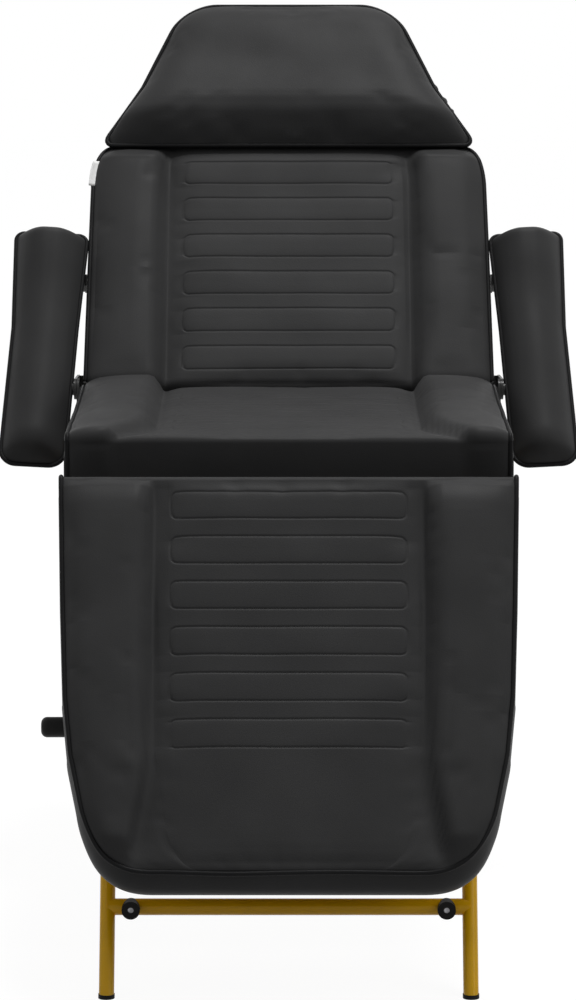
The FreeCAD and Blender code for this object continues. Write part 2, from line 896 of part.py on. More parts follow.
# Armrests, drawn flat on the right side
def arm_pad_outline(inset, z):
    # The pad's lower end stands a little out from the bed.
    half = arm_width / 2 - inset
    y0 = seat_depth + arm_low_end + inset
    y1 = y0 + arm_length - 2 * inset
    x0 = arm_middle - half
    x1 = arm_middle + half
    corners = [(x0, y0), (x1, y0), (x1, y1), (x0, y1)]
    outline = rounded_outline(corners, arm_corner - inset * arm_mid_share, z)
    outline.rotate(Vector(arm_middle, arm_pivot().y, z), Vector(0, 0, 1), arm_splay)
    return outline


def armrest_pad():
    sections = [arm_pad_outline(side_tuck / 2, seat_height),
                arm_pad_outline(0, seat_height + arm_pad_height * (1 - arm_mid_share) / 2),
                arm_pad_outline(side_tuck, seat_height + arm_pad_height * (1 + arm_mid_share) / 2),
                arm_pad_outline(arm_pad_inset, seat_height + arm_pad_height)]
    return Part.makeLoft(sections, True, False)


def armrest_board():
    outline = arm_pad_outline(side_tuck / 2, seat_height - arm_board_thickness)
    return Part.Face(outline).extrude(Vector(0, 0, arm_board_thickness))


def arm_pivot():
    return Vector(0, seat_depth + arm_pivot_along, seat_height - arm_pivot_drop)


def armrest_arm():
    # A black plate under the pad: a flat foot on the board and an ear at the pivot.
    pivot = arm_pivot()
    x0, x1 = arm_plate_inner, arm_plate_outer
    low = seat_height - arm_board_thickness - plate_thickness
    start = pivot.y - arm_pivot_along / 2
    end = pivot.y + hinge_eye_radius
    foot = block(x0, arm_middle, start, end, low, low + plate_thickness)
    ear = block(x0, x1, pivot.y - hinge_eye_radius, end, pivot.z, low + plate_thickness)
    eye = rod_x(x0, x1, pivot.y, pivot.z, hinge_eye_radius)
    bore = rod_x(x0 - overrun, x1 + overrun, pivot.y, pivot.z, hinge_bolt_diameter / 2 + fit_gap)
    return foot.fuse([ear, eye]).removeSplitter().cut(bore)


def armrest_bracket():
    # From the side tube of the backrest out under the board and up to the pivot.
    pivot = arm_pivot()
    x0, x1 = plate_inner, plate_outer
    low = back_tube_height - section_radius
    ear = plate_link(x0, x1, (pivot.y, pivot.z), (pivot.y, low + hinge_eye_radius), hinge_eye_radius)
    bar = block(frame_half, x0, pivot.y - section_radius, pivot.y + section_radius, low, board_under)
    bar = bar.cut(back_tube_core(1))
    bore = rod_x(x0 - overrun, x1 + overrun, pivot.y, pivot.z, hinge_bolt_diameter / 2)
    return ear.cut(bore).fuse(bar).removeSplitter()


def armrest_bolt():
    pivot = arm_pivot()
    shank = rod_x(plate_inner, arm_plate_outer + fit_gap, pivot.y, pivot.z, hinge_bolt_diameter / 2)
    head = rod_x(arm_plate_outer + fit_gap, arm_plate_outer + fit_gap + bolt_head_height, pivot.y, pivot.z,
                 bolt_head_diameter / 2)
    return shank.fuse(head).removeSplitter()


def armrest_stop():
    # A pin on the bracket's ear that the arm plate's foot lies on.
    pivot = arm_pivot()
    radius = pin_diameter / 2
    y = pivot.y - hinge_eye_radius - radius - pin_end
    z = seat_height - arm_board_thickness - plate_thickness - radius - fit_gap
    low = block(plate_inner, plate_outer, y - radius, pivot.y, z - radius, z + radius)
    eye = rod_x(plate_inner - overrun, plate_outer + overrun, pivot.y, pivot.z, hinge_eye_radius)
    pin = rod_x(plate_outer, arm_plate_outer, y, z, radius)
    return low.cut(eye).fuse(pin).removeSplitter()


# All pieces, each in the pose of the photograph
def build_base(nodes):
    ends = {"front": (foot_front, leg_top_front), "rear": (foot_rear, leg_top_rear)}
    sides = {"left": -1, "right": 1}
    for end, (foot, top) in ends.items():
        for name, side in sides.items():
            nodes[end + "_leg_" + name] = leg(foot, top, side)
        nodes[end + "_crossbar"] = crossbar(foot, top, crossbar_height)
    nodes["spring_crossbar"] = crossbar(foot_rear, leg_top_rear, back_spring_base().z)
    nodes["foot_caps"] = group([foot_cap(foot, top, side) for foot, top in ends.values() for side in (-1, 1)])
    for name, side in sides.items():
        nodes["seat_rail_" + name] = seat_rail(side)
    nodes["hinge_plates"] = group([back_hinge_plate(side) for side in (-1, 1)])
    nodes["seat_cross_rails"] = group([seat_cross_rail(y) for y in cross_rail_places()])
    plug_places = ((rail_inset, -1), (seat_depth - rail_inset, 1))
    nodes["rail_plugs"] = group([rail_plug(side, y, way) for side in (-1, 1) for y, way in plug_places])
    pucks = [bumper(side) for side in (-1, 1)]
    nodes["legrest_bumpers"] = group([pair[0] for pair in pucks])
    nodes["bumper_screws"] = group([pair[1] for pair in pucks])
    nodes["seat_board"] = seat_board()
    nodes["seat_cushion"] = seat_cushion()
    nodes["back_hinge_bolts"] = group([back_hinge_bolt(side) for side in (-1, 1)])
    nodes["leg_hinge_lugs"] = group([leg_hinge_lug(side) for side in (-1, 1)])
    nodes["leg_hinge_pins"] = group([leg_hinge_pin(side) for side in (-1, 1)])
    nodes["leg_spring_hanger"] = leg_spring_hanger()
    nodes["back_spring_bracket"] = back_spring_bracket()
    nodes["spring_base_pins"] = group([spring_pin(leg_spring_base()), spring_pin(back_spring_base())])


def build_backrest(nodes):
    lugs, pin = back_rod_lugs()
    flat = {
        "backrest_cushion": backrest_cushion(),
        "backrest_board": backrest_board(),
        "back_tube_left": back_tube(-1),
        "back_tube_right": back_tube(1),
        "back_cross_tubes": group([back_cross_tube(along) for along in back_cross_places()]),
        "back_hinge_arms": group([back_hinge_arm(side) for side in (-1, 1)]),
        "back_rod_lugs": lugs,
        "back_rod_pin": pin,
        "armrest_brackets": group([armrest_bracket(), mirror_x(armrest_bracket())]),
        "armrest_bolts": group([armrest_bolt(), mirror_x(armrest_bolt())]),
        "armrest_stops": group([armrest_stop(), mirror_x(armrest_stop())]),
        "back_tube_plugs": group([
            tube_plug(side * frame_half, seat_depth + place, back_tube_height, way)
            for side in (-1, 1) for place, way in ((back_tube_start, -1), (back_tube_end(), 1))]),
        "headrest_pillow": headrest_pillow(),
        "headrest_hood": headrest_hood(),
        "armrest_pad_left": mirror_x(armrest_pad()),
        "armrest_pad_right": armrest_pad(),
        "armrest_board_left": mirror_x(armrest_board()),
        "armrest_board_right": armrest_board(),
        "armrest_arm_left": mirror_x(armrest_arm()),
        "armrest_arm_right": armrest_arm(),
        "back_release_lever": back_release()[0],
        "back_release_grip": back_release()[1],
    }
    for name, shape in flat.items():
        nodes[name] = on_back(shape)


def build_legrest(nodes):
    lugs, pin = leg_rod_lugs()
    flat = {
        "legrest_cushion": legrest_cushion(),
        "legrest_board": legrest_board(),
        "leg_tube_left": leg_tube(-1),
        "leg_tube_right": leg_tube(1),
        "leg_cross_tubes": group([leg_cross_tube(along) for along in leg_cross_places()]),
        "legrest_lugs": group([legrest_lug(side) for side in (-1, 1)]),
        "leg_rod_lugs": lugs,
        "leg_rod_pin": pin,
        "leg_tube_plugs": group([
            tube_plug(side * leg_frame_half, place, leg_tube_height, way)
            for side in (-1, 1) for place, way in ((-rail_inset, 1), (-leg_tube_end(), -1))]),
        "leg_release_lever": leg_release()[0],
        "leg_release_grip": leg_release()[1],
    }
    for name, shape in flat.items():
        nodes[name] = on_leg(shape)


def build_springs(nodes):
    nodes["back_spring_cylinder"], nodes["back_spring_rod"] = back_spring()
    nodes["leg_spring_cylinder"], nodes["leg_spring_rod"] = leg_spring()


def build():
    nodes = {}
    build_base(nodes)
    build_backrest(nodes)
    build_legrest(nodes)
    build_springs(nodes)
    whole = group(list(nodes.values())).optimalBoundingBox(False, False)
    shift = Vector(0, -(whole.YMin + whole.YMax) / 2, 0)
    for shape in nodes.values():
        shape.translate(shift)
    return nodes, shift


nodes, shift = build()
os.makedirs("parts", exist_ok=True)
for name, shape in nodes.items():
    shape.exportStep(os.path.join("parts", name + ".step"))
print(len(nodes), "nodes, shift along Y", round(shift.y, 3))
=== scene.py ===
import json
import math

import bmesh
import bpy
import numpy as np
from mathutils import Matrix, Vector


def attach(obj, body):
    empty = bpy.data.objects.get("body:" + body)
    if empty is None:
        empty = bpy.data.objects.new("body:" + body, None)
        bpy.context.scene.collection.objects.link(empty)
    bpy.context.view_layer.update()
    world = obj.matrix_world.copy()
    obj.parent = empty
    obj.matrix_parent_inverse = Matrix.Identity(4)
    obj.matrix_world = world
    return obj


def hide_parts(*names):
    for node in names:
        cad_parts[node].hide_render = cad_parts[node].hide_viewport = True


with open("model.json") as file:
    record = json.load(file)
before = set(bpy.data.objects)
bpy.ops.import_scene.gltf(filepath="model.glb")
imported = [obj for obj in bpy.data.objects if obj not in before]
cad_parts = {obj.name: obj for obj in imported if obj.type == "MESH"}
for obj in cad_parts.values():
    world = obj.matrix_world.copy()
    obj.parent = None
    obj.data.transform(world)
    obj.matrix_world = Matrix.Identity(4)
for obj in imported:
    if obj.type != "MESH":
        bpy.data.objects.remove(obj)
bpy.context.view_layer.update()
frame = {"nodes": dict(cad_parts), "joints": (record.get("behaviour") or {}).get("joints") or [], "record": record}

# Sizes of the bed in metres, shared with the solids
SEAT_DEPTH = 0.541
HALF_WIDTH = 0.300
LEG_HINGE_DROP = 0.086
THICKNESS = 0.070
BOARD = 0.012
END_GAP = 0.0015

joints = {joint["name"]: joint for joint in frame["joints"]}
LEG_HINGE = Vector(joints["leg_tilt"]["pos_m"])
BACK_HINGE = Vector(joints["back_recline"]["pos_m"])
LEG_ANGLE = math.radians(joints["leg_tilt"]["range_deg"][1])
BACK_ANGLE = -math.radians(joints["back_recline"]["range_deg"][0])
SEAT_TOP = LEG_HINGE.z + LEG_HINGE_DROP
LIP_Y = LEG_HINGE.y

QUARTER = math.pi / 2
TINY = 1e-9


# Places: a section lies flat first, (x, along, up) from the seat's front lip or rear end
def about(pivot, angle):
    turn = Matrix.Rotation(angle, 4, "X")
    return Matrix.Translation(pivot) @ turn @ Matrix.Translation(-pivot)


def seat_place():
    return Matrix.Translation((0, LIP_Y, SEAT_TOP))


def back_place():
    return about(BACK_HINGE, BACK_ANGLE) @ Matrix.Translation((0, LIP_Y + SEAT_DEPTH, SEAT_TOP))


def leg_place():
    flip = Matrix.Diagonal((-1, -1, 1, 1))
    return about(LEG_HINGE, LEG_ANGLE) @ Matrix.Translation((0, LIP_Y, SEAT_TOP)) @ flip


# Node helpers for the materials
def new_material(name, base, rough, metallic=0.0):
    material = bpy.data.materials.new(name)
    material.use_nodes = True
    shader = material.node_tree.nodes["Principled BSDF"]
    shader.inputs["Base Color"].default_value = (*base, 1)
    shader.inputs["Roughness"].default_value = rough
    shader.inputs["Metallic"].default_value = metallic
    return material, material.node_tree, shader


def math_node(tree, operation):
    node = tree.nodes.new("ShaderNodeMath")
    node.operation = operation
    return node


def place_coordinates(tree):
    return tree.nodes.new("ShaderNodeTexCoord").outputs["Object"]


def noise(tree, coords, scale, detail=3.0):
    node = tree.nodes.new("ShaderNodeTexNoise")
    node.inputs["Scale"].default_value = scale
    node.inputs["Detail"].default_value = detail
    tree.links.new(coords, node.inputs["Vector"])
    return node.outputs["Fac"]


def cells(tree, coords, scale):
    node = tree.nodes.new("ShaderNodeTexVoronoi")
    node.inputs["Scale"].default_value = scale
    tree.links.new(coords, node.inputs["Vector"])
    return node.outputs["Distance"]


def mapped(tree, value, low, high):
    node = tree.nodes.new("ShaderNodeMapRange")
    tree.links.new(value, node.inputs["Value"])
    node.inputs["To Min"].default_value = low
    node.inputs["To Max"].default_value = high
    return node.outputs["Result"]


def colour_mix(tree, factor, first, second, first_at=0.3, second_at=0.7):
    ramp = tree.nodes.new("ShaderNodeValToRGB")
    ramp.color_ramp.elements[0].color = (*first, 1)
    ramp.color_ramp.elements[1].color = (*second, 1)
    ramp.color_ramp.elements[0].position = first_at
    ramp.color_ramp.elements[1].position = second_at
    tree.links.new(factor, ramp.inputs["Fac"])
    return ramp.outputs["Color"]


def bump(tree, shader, height, strength, distance, under=None):
    node = tree.nodes.new("ShaderNodeBump")
    node.inputs["Strength"].default_value = strength
    node.inputs["Distance"].default_value = distance
    tree.links.new(height, node.inputs["Height"])
    if under is not None:
        tree.links.new(under, node.inputs["Normal"])
    tree.links.new(node.outputs["Normal"], shader.inputs["Normal"])
    return node.outputs["Normal"]


def tint(tree, shader, tone, dark, light):
    tree.links.new(colour_mix(tree, tone, dark, light), shader.inputs["Base Color"])


def vary_roughness(tree, shader, value, low, high):
    tree.links.new(mapped(tree, value, low, high), shader.inputs["Roughness"])


# Materials
def leather_material(name, dark, light, rough_low, rough_high):
    # Two bumps: the fine pebbles of the grain, and the slow unevenness of the film.
    material, tree, shader = new_material(name, light, rough_high)
    shader.inputs["Specular IOR Level"].default_value = 0.06
    coords = place_coordinates(tree)
    tint(tree, shader, noise(tree, coords, scale=9.0, detail=4.0), dark, light)
    vary_roughness(tree, shader, noise(tree, coords, scale=26.0), rough_low, rough_high)
    pebbles = cells(tree, coords, scale=620.0)
    grain = bump(tree, shader, pebbles, strength=0.16, distance=0.0006)
    film = noise(tree, coords, scale=60.0, detail=5.0)
    bump(tree, shader, film, strength=0.05, distance=0.002, under=grain)
    return material


def paint_material(name, dark, light, rough, coat):
    # Sprayed paint: a faint orange peel under a thin clear coat.
    material, tree, shader = new_material(name, light, rough)
    coords = place_coordinates(tree)
    tint(tree, shader, noise(tree, coords, scale=30.0), dark, light)
    vary_roughness(tree, shader, noise(tree, coords, scale=90.0), rough * 0.85, rough * 1.2)
    shader.inputs["Specular IOR Level"].default_value = 0.2
    shader.inputs["Coat Weight"].default_value = coat
    shader.inputs["Coat Roughness"].default_value = 0.12
    peel = noise(tree, coords, scale=380.0, detail=2.0)
    bump(tree, shader, peel, strength=0.05, distance=0.0004)
    return material


def metal_material(name, dark, light, rough):
    material, tree, shader = new_material(name, light, rough, metallic=1.0)
    coords = place_coordinates(tree)
    tint(tree, shader, noise(tree, coords, scale=120.0), dark, light)
    vary_roughness(tree, shader, noise(tree, coords, scale=260.0), rough * 0.7, rough * 1.3)
    scratches = noise(tree, coords, scale=900.0, detail=2.0)
    bump(tree, shader, scratches, strength=0.04, distance=0.0003)
    return material


def moulded_material(name, dark, light, rough, grain):
    material, tree, shader = new_material(name, light, rough)
    shader.inputs["Specular IOR Level"].default_value = 0.12
    coords = place_coordinates(tree)
    tint(tree, shader, noise(tree, coords, scale=45.0), dark, light)
    vary_roughness(tree, shader, noise(tree, coords, scale=150.0), rough * 0.85, rough * 1.15)
    texture = noise(tree, coords, scale=grain, detail=2.0)
    bump(tree, shader, texture, strength=0.12, distance=0.0004)
    return material


def lining_material(name, base, dark, light, rough):
    # Thin felted cloth under the boards.
    material, tree, shader = new_material(name, base, rough)
    coords = place_coordinates(tree)
    tint(tree, shader, noise(tree, coords, scale=220.0, detail=6.0), dark, light)
    bump(tree, shader, cells(tree, coords, scale=420.0), strength=0.3, distance=0.0006)
    return material


def grey(value, blue=0.0):
    return (value, value, value + blue)


GOLD_DARK = (0.9, 0.49, 0.002)
GOLD_LIGHT = (0.97, 0.53, 0.003)
COVER_DARK = grey(0.036, blue=0.0005)
COVER_LIGHT = grey(0.044, blue=0.0005)
# Piping colours: the cover's own leather, painted much darker as painted shade of the crease the cord lies in
PIPING_SHADE_DARK = grey(0.01, blue=0.0005)
PIPING_SHADE_LIGHT = grey(0.014, blue=0.0005)
LINING = grey(0.012, blue=0.001)
LINING_DARK = grey(0.008, blue=0.001)
LINING_LIGHT = grey(0.02, blue=0.001)
BLACK_DARK = grey(0.006)
BLACK_LIGHT = grey(0.01)

# By material slot, and by node or piece where one has a finish of its own
MATERIALS = {
    "upholstery": leather_material("faux_leather", COVER_DARK, COVER_LIGHT,
                                   rough_low=0.44, rough_high=0.54),
    # Piping: the cover's leather with the crease's shade painted into its colour, and a little glossier
    "piping": leather_material("piping_leather_painted_shade", PIPING_SHADE_DARK, PIPING_SHADE_LIGHT,
                               rough_low=0.38, rough_high=0.46),
    "frame_paint": paint_material("gold_paint", GOLD_DARK, GOLD_LIGHT, rough=0.34, coat=0.12),
    "board": lining_material("black_lining", LINING, LINING_DARK, LINING_LIGHT, rough=0.85),
    "black_metal": paint_material("black_paint", grey(0.012), grey(0.02), rough=0.4, coat=0.1),
    "bright_metal": metal_material("polished_rod", grey(0.62, 0.02), grey(0.75, 0.02), rough=0.14),
    "zinc_metal": metal_material("zinc_plate", grey(0.3, 0.01), grey(0.42, 0.01), rough=0.36),
    "bumper_screws": metal_material("screw_head", grey(0.04, 0.002), grey(0.3, 0.01), rough=0.3),
    "black_rubber": moulded_material("rubber", BLACK_DARK, BLACK_LIGHT, rough=0.62, grain=520.0),
    "black_plastic": moulded_material("grip_plastic", BLACK_DARK, BLACK_LIGHT, rough=0.45, grain=640.0),
    "tab": moulded_material("woven_tab", grey(0.86, -0.01), grey(0.94, -0.01), rough=0.8, grain=900.0),
}

# Mesh helpers
COARSE = 0.008
FINE = 0.0009
FINE_REACH = 0.0045
FINE_LEAST = 0.6
WELD = 1e-5
CORD_SIDES = 10
CORD_UPRIGHT = 0.2
WAVE_COUNT = 7
WAVE_RANGE = (18, 70)


def smoothstep(low, high, value):
    t = np.clip((value - low) / (high - low), 0, 1)
    return t * t * (3 - 2 * t)


def dome(distance, radius):
    t = np.clip(distance / radius, 0, 1)
    return np.sqrt(np.clip(1 - (1 - t) ** 2, 0, 1))


def graded(low, high, marks):
    # Even steps, with fine ones near the marks.
    steps = int(math.ceil((high - low) / COARSE))
    values = list(np.linspace(low, high, steps + 1))
    for mark in marks:
        values += list(np.arange(mark - FINE_REACH, mark + FINE_REACH, FINE))
    values = np.array(sorted(v for v in values if low <= v <= high))
    keep = [values[0]]
    for v in values[1:]:
        if v - keep[-1] > FINE * FINE_LEAST:
            keep.append(v)
    keep[-1] = high
    return np.array(keep)


def make_piece(name, verts, faces, material, place=None):
    mesh = bpy.data.meshes.new(name)
    mesh.from_pydata([tuple(v) for v in verts], [], faces)
    mesh.update()
    if place is not None:
        mesh.transform(place)
    obj = bpy.data.objects.new(name, mesh)
    bpy.context.scene.collection.objects.link(obj)
    mesh.materials.append(material)
    mesh.polygons.foreach_set("use_smooth", [True] * len(mesh.polygons))
    return obj


def close_holes(obj):
    # Fills what is open and turns all faces outwards.
    bm = bmesh.new()
    bm.from_mesh(obj.data)
    bmesh.ops.remove_doubles(bm, verts=bm.verts, dist=WELD)
    bmesh.ops.holes_fill(bm, edges=[e for e in bm.edges if e.is_boundary], sides=0)
    bmesh.ops.recalc_face_normals(bm, faces=bm.faces)
    bm.to_mesh(obj.data)
    bm.free()


def grid_faces(rows, cols):
    faces = []
    for i in range(rows - 1):
        for j in range(cols - 1):
            a = i * cols + j
            faces.append((a, a + 1, a + cols + 1, a + cols))
    return faces


def tube_along(name, points, radius, material, place, closed=False):
    # A round cord swept along points, with a steady frame.
    pts = np.array(points, float)
    ahead = np.roll(pts, -1, 0) - np.roll(pts, 1, 0)
    if not closed:
        ahead[0] = pts[1] - pts[0]
        ahead[-1] = pts[-1] - pts[-2]
    ahead /= np.linalg.norm(ahead, axis=1)[:, None]
    side = np.cross(ahead, (0, 0, 1.0))
    weak = np.linalg.norm(side, axis=1) < CORD_UPRIGHT
    side[weak] = np.cross(ahead[weak], (1.0, 0, 0))
    side /= np.linalg.norm(side, axis=1)[:, None]
    for i in range(1, len(side)):
        if side[i] @ side[i - 1] < 0:
            side[i] *= -1
    up = np.cross(side, ahead)
    sides = CORD_SIDES
    verts = []
    for p, a, b in zip(pts, side, up):
        for k in range(sides):
            t = 2 * math.pi * k / sides
            verts.append(p + radius * (a * math.cos(t) + b * math.sin(t)))
    faces = []
    count = len(pts)
    for i in range(count if closed else count - 1):
        n = (i + 1) % count
        for k in range(sides):
            m = (k + 1) % sides
            faces.append((i * sides + k, i * sides + m, n * sides + m, n * sides + k))
    if not closed:
        faces.append(tuple(range(sides))[::-1])
        faces.append(tuple((count - 1) * sides + k for k in range(sides)))
    return make_piece(name, verts, faces, material, place)


def soft_waves(x, y, seed, size):
    # Slow, small unevenness of stuffed fabric, the same on each run.
    rng = np.random.default_rng(seed)
    total = np.zeros(np.broadcast(x, y).shape)
    for _ in range(WAVE_COUNT):
        wave = rng.uniform(*WAVE_RANGE)
        turn = rng.uniform(0, 2 * math.pi)
        shift = rng.uniform(0, 2 * math.pi)
        total = total + np.sin(wave * (x * math.cos(turn) + y * math.sin(turn)) + shift)
    return total * size / WAVE_COUNT


# Cloth: a sewn cover is swelled by air pressure, with its seams held
CLOTH_STEP = 0.010
CLOTH_PRESSURE = 4.0
CLOTH_FRAMES = 20
CLOTH_QUALITY = 6
CLOTH_MASS = 0.3
COVER_SLACK = 0.004
PIN_REACH = 0.6
PIN_STEEP = 0.6


def thinned(values, gap):
    keep = [0]
    for i in range(1, len(values) - 1):
        if values[i] - values[keep[-1]] > gap and values[-1] - values[i] > gap:
            keep.append(i)
    return keep + [len(values) - 1]


def path_length(points):
    steps = np.linalg.norm(np.diff(points, axis=0), axis=1)
    return np.concatenate([[0], np.cumsum(steps)])


def spread(moved, rows, cols, along, across):
    # From the thinned grid back to every point of the full one.
    tall = np.zeros((len(along), len(cols), 3))
    for j in range(len(cols)):
        for k in range(3):
            tall[:, j, k] = np.interp(along, along[rows], moved[:, j, k])
    full = np.zeros((len(along), len(across), 3))
    for i in range(len(along)):
        for k in range(3):
            full[i, :, k] = np.interp(across, across[cols], tall[i, :, k])
    return full


def add_cloth(sheet, held, slack):
    seam = sheet.vertex_groups.new(name="seam")
    seam.add(held, 1.0, "ADD")
    cloth = sheet.modifiers.new("swell", "CLOTH")
    cloth.settings.quality = CLOTH_QUALITY
    cloth.settings.mass = CLOTH_MASS
    cloth.settings.vertex_group_mass = "seam"
    cloth.settings.use_pressure = True
    cloth.settings.uniform_pressure_force = CLOTH_PRESSURE
    cloth.settings.shrink_min = -slack
    cloth.settings.effector_weights.gravity = 0
    cloth.point_cache.frame_end = CLOTH_FRAMES


def swelled(points, pins, cap, slack):
    # Runs the cloth on a thinned copy of the sheet and gives how far each point moves.
    n, m = pins.shape
    along = path_length(points[:, m // 2])
    across = path_length(points[n // 2])
    rows = thinned(along, CLOTH_STEP)
    cols = thinned(across, CLOTH_STEP)
    pick = np.ix_(rows, cols)
    start = points[pick].reshape(-1, 3)
    faces = grid_faces(len(rows), len(cols))
    sheet = make_piece("cover_sheet", start, faces, MATERIALS["upholstery"])
    held = [int(i) for i in np.nonzero(pins[pick].reshape(-1))[0]]
    add_cloth(sheet, held, slack)
    for number in range(1, CLOTH_FRAMES + 1):
        bpy.context.scene.frame_set(number)
    done = sheet.evaluated_get(bpy.context.evaluated_depsgraph_get()).data
    moved = np.array([vertex.co[:] for vertex in done.vertices]) - start
    length = np.maximum(np.linalg.norm(moved, axis=1), TINY)
    moved *= (cap * np.tanh(length / cap) / length)[:, None]
    bpy.context.scene.frame_set(1)
    bpy.data.objects.remove(sheet)
    return spread(moved.reshape(len(rows), len(cols), 3), rows, cols, along, across)


def rim_pins(x):
    pins = np.zeros(x.shape, bool)
    pins[0] = pins[-1] = True
    pins[:, 0] = pins[:, -1] = True
    return pins


def seam_pins(x, inner):
    # Held points: the rim, and the crease between bolster and centre.
    return rim_pins(x) | (np.abs(np.abs(x) - inner) < CLOTH_STEP * PIN_REACH)


# Edges of the pads: chains of rim points, boxing and piping
PIPING = 0.0034
PIPING_END = 0.009
PIPING_OUT = 0.0015
PIPING_LIFT = 0.0003
RIM_PIPING_OUT = 0.001
SQUARE_POINTS = 20


def open_chain(n, m):
    # Round a grid with its near end left open: left side up, far end across, right side back.
    chain = [i * m for i in range(n)] + [(n - 1) * m + j for j in range(1, m)]
    return chain + [i * m + m - 1 for i in range(n - 2, -1, -1)]


def rim_chain(n, m):
    # All the way round, with the near end as well.
    return open_chain(n, m) + list(range(m - 2, 0, -1))


def plan_normals(ahead):
    ahead = ahead / np.maximum(np.linalg.norm(ahead, axis=1), TINY)[:, None]
    return np.stack([-ahead[:, 1], ahead[:, 0]], 1)


def open_outward(points):
    # Plan normals of an open chain, square to the sides where it runs down the end face.
    outs = plan_normals(np.gradient(np.array(points)[:, :2], axis=0))
    for i in range(SQUARE_POINTS):
        outs[i] = (-1, 0)
        outs[-1 - i] = (1, 0)
    return outs


def closed_outward(points):
    pts = np.array(points)[:, :2]
    return plan_normals(np.roll(pts, -1, 0) - np.roll(pts, 1, 0))


def band_chain(verts, faces, chain, outs, bottom, bulge, tuck, rings=8):
    # The boxing: a bulged strip from a chain of edge points down to the bottom level.
    start = len(verts)
    count = len(chain)
    bulges = bulge + np.zeros(count)
    tucks = tuck + np.zeros(count)
    for k in range(1, rings + 1):
        t = k / rings
        swells = bulges * math.sin(math.pi * t) - tucks * t
        for index, out, swell in zip(chain, outs, swells):
            p = verts[index]
            down = p[2] + (bottom - p[2]) * t
            verts.append(np.array([p[0] + out[0] * swell, p[1] + out[1] * swell, down]))
    for k in range(rings):
        for c in range(count - 1):
            if k == 0:
                a, b = chain[c], chain[c + 1]
            else:
                a = start + (k - 1) * count + c
                b = a + 1
            d = start + k * count + c
            faces.append((a, b, d + 1, d))


def sheet_mesh(verts):
    n, m = verts.shape[:2]
    return list(verts.reshape(-1, 3)), grid_faces(n, m)


def make_pad(name, points, faces, place, body, node):
    # A closed cushion cover that stands for a CAD solid.
    pad = make_piece(name, points, faces, MATERIALS["upholstery"], place)
    close_holes(pad)
    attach(pad, body)
    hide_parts(node)


def make_piping(name, line, place, body, closed=False):
    cord = tube_along(name, line, PIPING, MATERIALS["piping"], place, closed)
    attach(cord, body)


def make_domed_pad(names, verts, place, body, node, bottom, bulge, tuck, rings):
    # A pad that is domed all round, on a low band, with piping in its whole seam.
    pad_name, piping_name = names
    points, faces = sheet_mesh(verts)
    chain = rim_chain(*verts.shape[:2])
    edge = [points[i].copy() for i in chain]
    outs = closed_outward(edge)
    ring_outs = list(outs) + [outs[0]]
    band_chain(points, faces, chain + chain[:1], ring_outs, bottom, bulge, tuck, rings)
    make_pad(pad_name, points, faces, place, body, node)
    line = []
    for p, o in zip(edge, outs):
        line.append(p + np.array([o[0] * RIM_PIPING_OUT, o[1] * RIM_PIPING_OUT, 0]))
    make_piping(piping_name, line, place, body, closed=True)
    return edge, outs


# Surface of the bed: bolsters, recessed centre and embossed ribs
SEAT_INNER = 0.180
LEG_INNER = 0.178
BACK_INNER = 0.180
SEAT_HALF = HALF_WIDTH - 0.004
BOLSTER_RISE = 0.020
BOLSTER_SLOPE = 0.020
BOLSTER_FOOT = 0.003
BOLSTER_FALL = 0.3
BOLSTER_LEAST = 0.01
CREASE_DEPTH = 0.0045
CREASE_INSIDE = 0.015
CREASE_OUTSIDE = 0.006
SEAM_DROP = 0.012
SEAM_ROUND = 0.03
RIB_PITCH = 0.0646
RIB_LENGTH = 0.039
RIB_HALF_WIDTH = 0.156
RIB_CORNER = 0.011
RIB_COUNT = 6
RIB_PUFF = 0.0005
RIB_PUFF_RUN = 0.009
RIB_GROOVE = 0.0011
GROOVE_SPREAD = 0.0013
LEVEL_UP = 0.99
BED_SWELL = 0.004
BED_WAVE = 0.0012
BOX_BULGE = 0.008
BOX_TUCK = 0.004
HINGE_EDGE = 0.016
HINGE_FACE_ROWS = 8
HINGE_EDGE_ROWS = 12


def rib_height(x, s, start):
    # Rounded rectangles: a puffed inside with a pressed line round it.
    total = np.zeros_like(x)
    for i in range(RIB_COUNT):
        middle = start + i * RIB_PITCH + RIB_LENGTH / 2
        qx = np.abs(x) - RIB_HALF_WIDTH + RIB_CORNER
        qs = np.abs(s - middle) - RIB_LENGTH / 2 + RIB_CORNER
        corner = np.hypot(np.maximum(qx, 0), np.maximum(qs, 0))
        away = corner + np.minimum(np.maximum(qx, qs), 0) - RIB_CORNER
        total += RIB_PUFF * smoothstep(0, -RIB_PUFF_RUN, away)
        total -= RIB_GROOVE * np.exp(-(away / GROOVE_SPREAD) ** 2)
    return total


def rib_marks(start):
    starts = [start + i * RIB_PITCH for i in range(RIB_COUNT)]
    return starts + [s + RIB_LENGTH for s in starts]


def bed_ribs(rows, x, start):
    # Only the level part of a section has ribs.
    s = rows[:, 0][:, None]
    level = (rows[:, 3] > LEVEL_UP)[:, None]
    return np.where(level, rib_height(x, s + 0 * x, start), 0)


def bolster_height(x, half, inner):
    # Steep inner side, a crest close to it, and a long fall to the outer seam.
    out = np.abs(x)
    crest = inner + BOLSTER_SLOPE
    beyond = np.clip((out - crest) / np.maximum(half - crest, BOLSTER_LEAST), 0, 1)
    climb = smoothstep(inner - BOLSTER_FOOT, crest, out)
    rise = BOLSTER_RISE * climb * (1 - BOLSTER_FALL * beyond ** 2)
    reach = np.where(out < inner, CREASE_INSIDE, CREASE_OUTSIDE)
    crease = CREASE_DEPTH * np.exp(-((out - inner) / reach) ** 2)
    edge = SEAM_DROP * (1 - dome(half - out, SEAM_ROUND))
    return rise - crease - edge


def bed_columns():
    half = graded(0, HALF_WIDTH, [RIB_HALF_WIDTH, BACK_INNER, LEG_INNER, SEAT_INNER, SEAT_HALF])
    return np.concatenate([-half[:0:-1], half]) / HALF_WIDTH


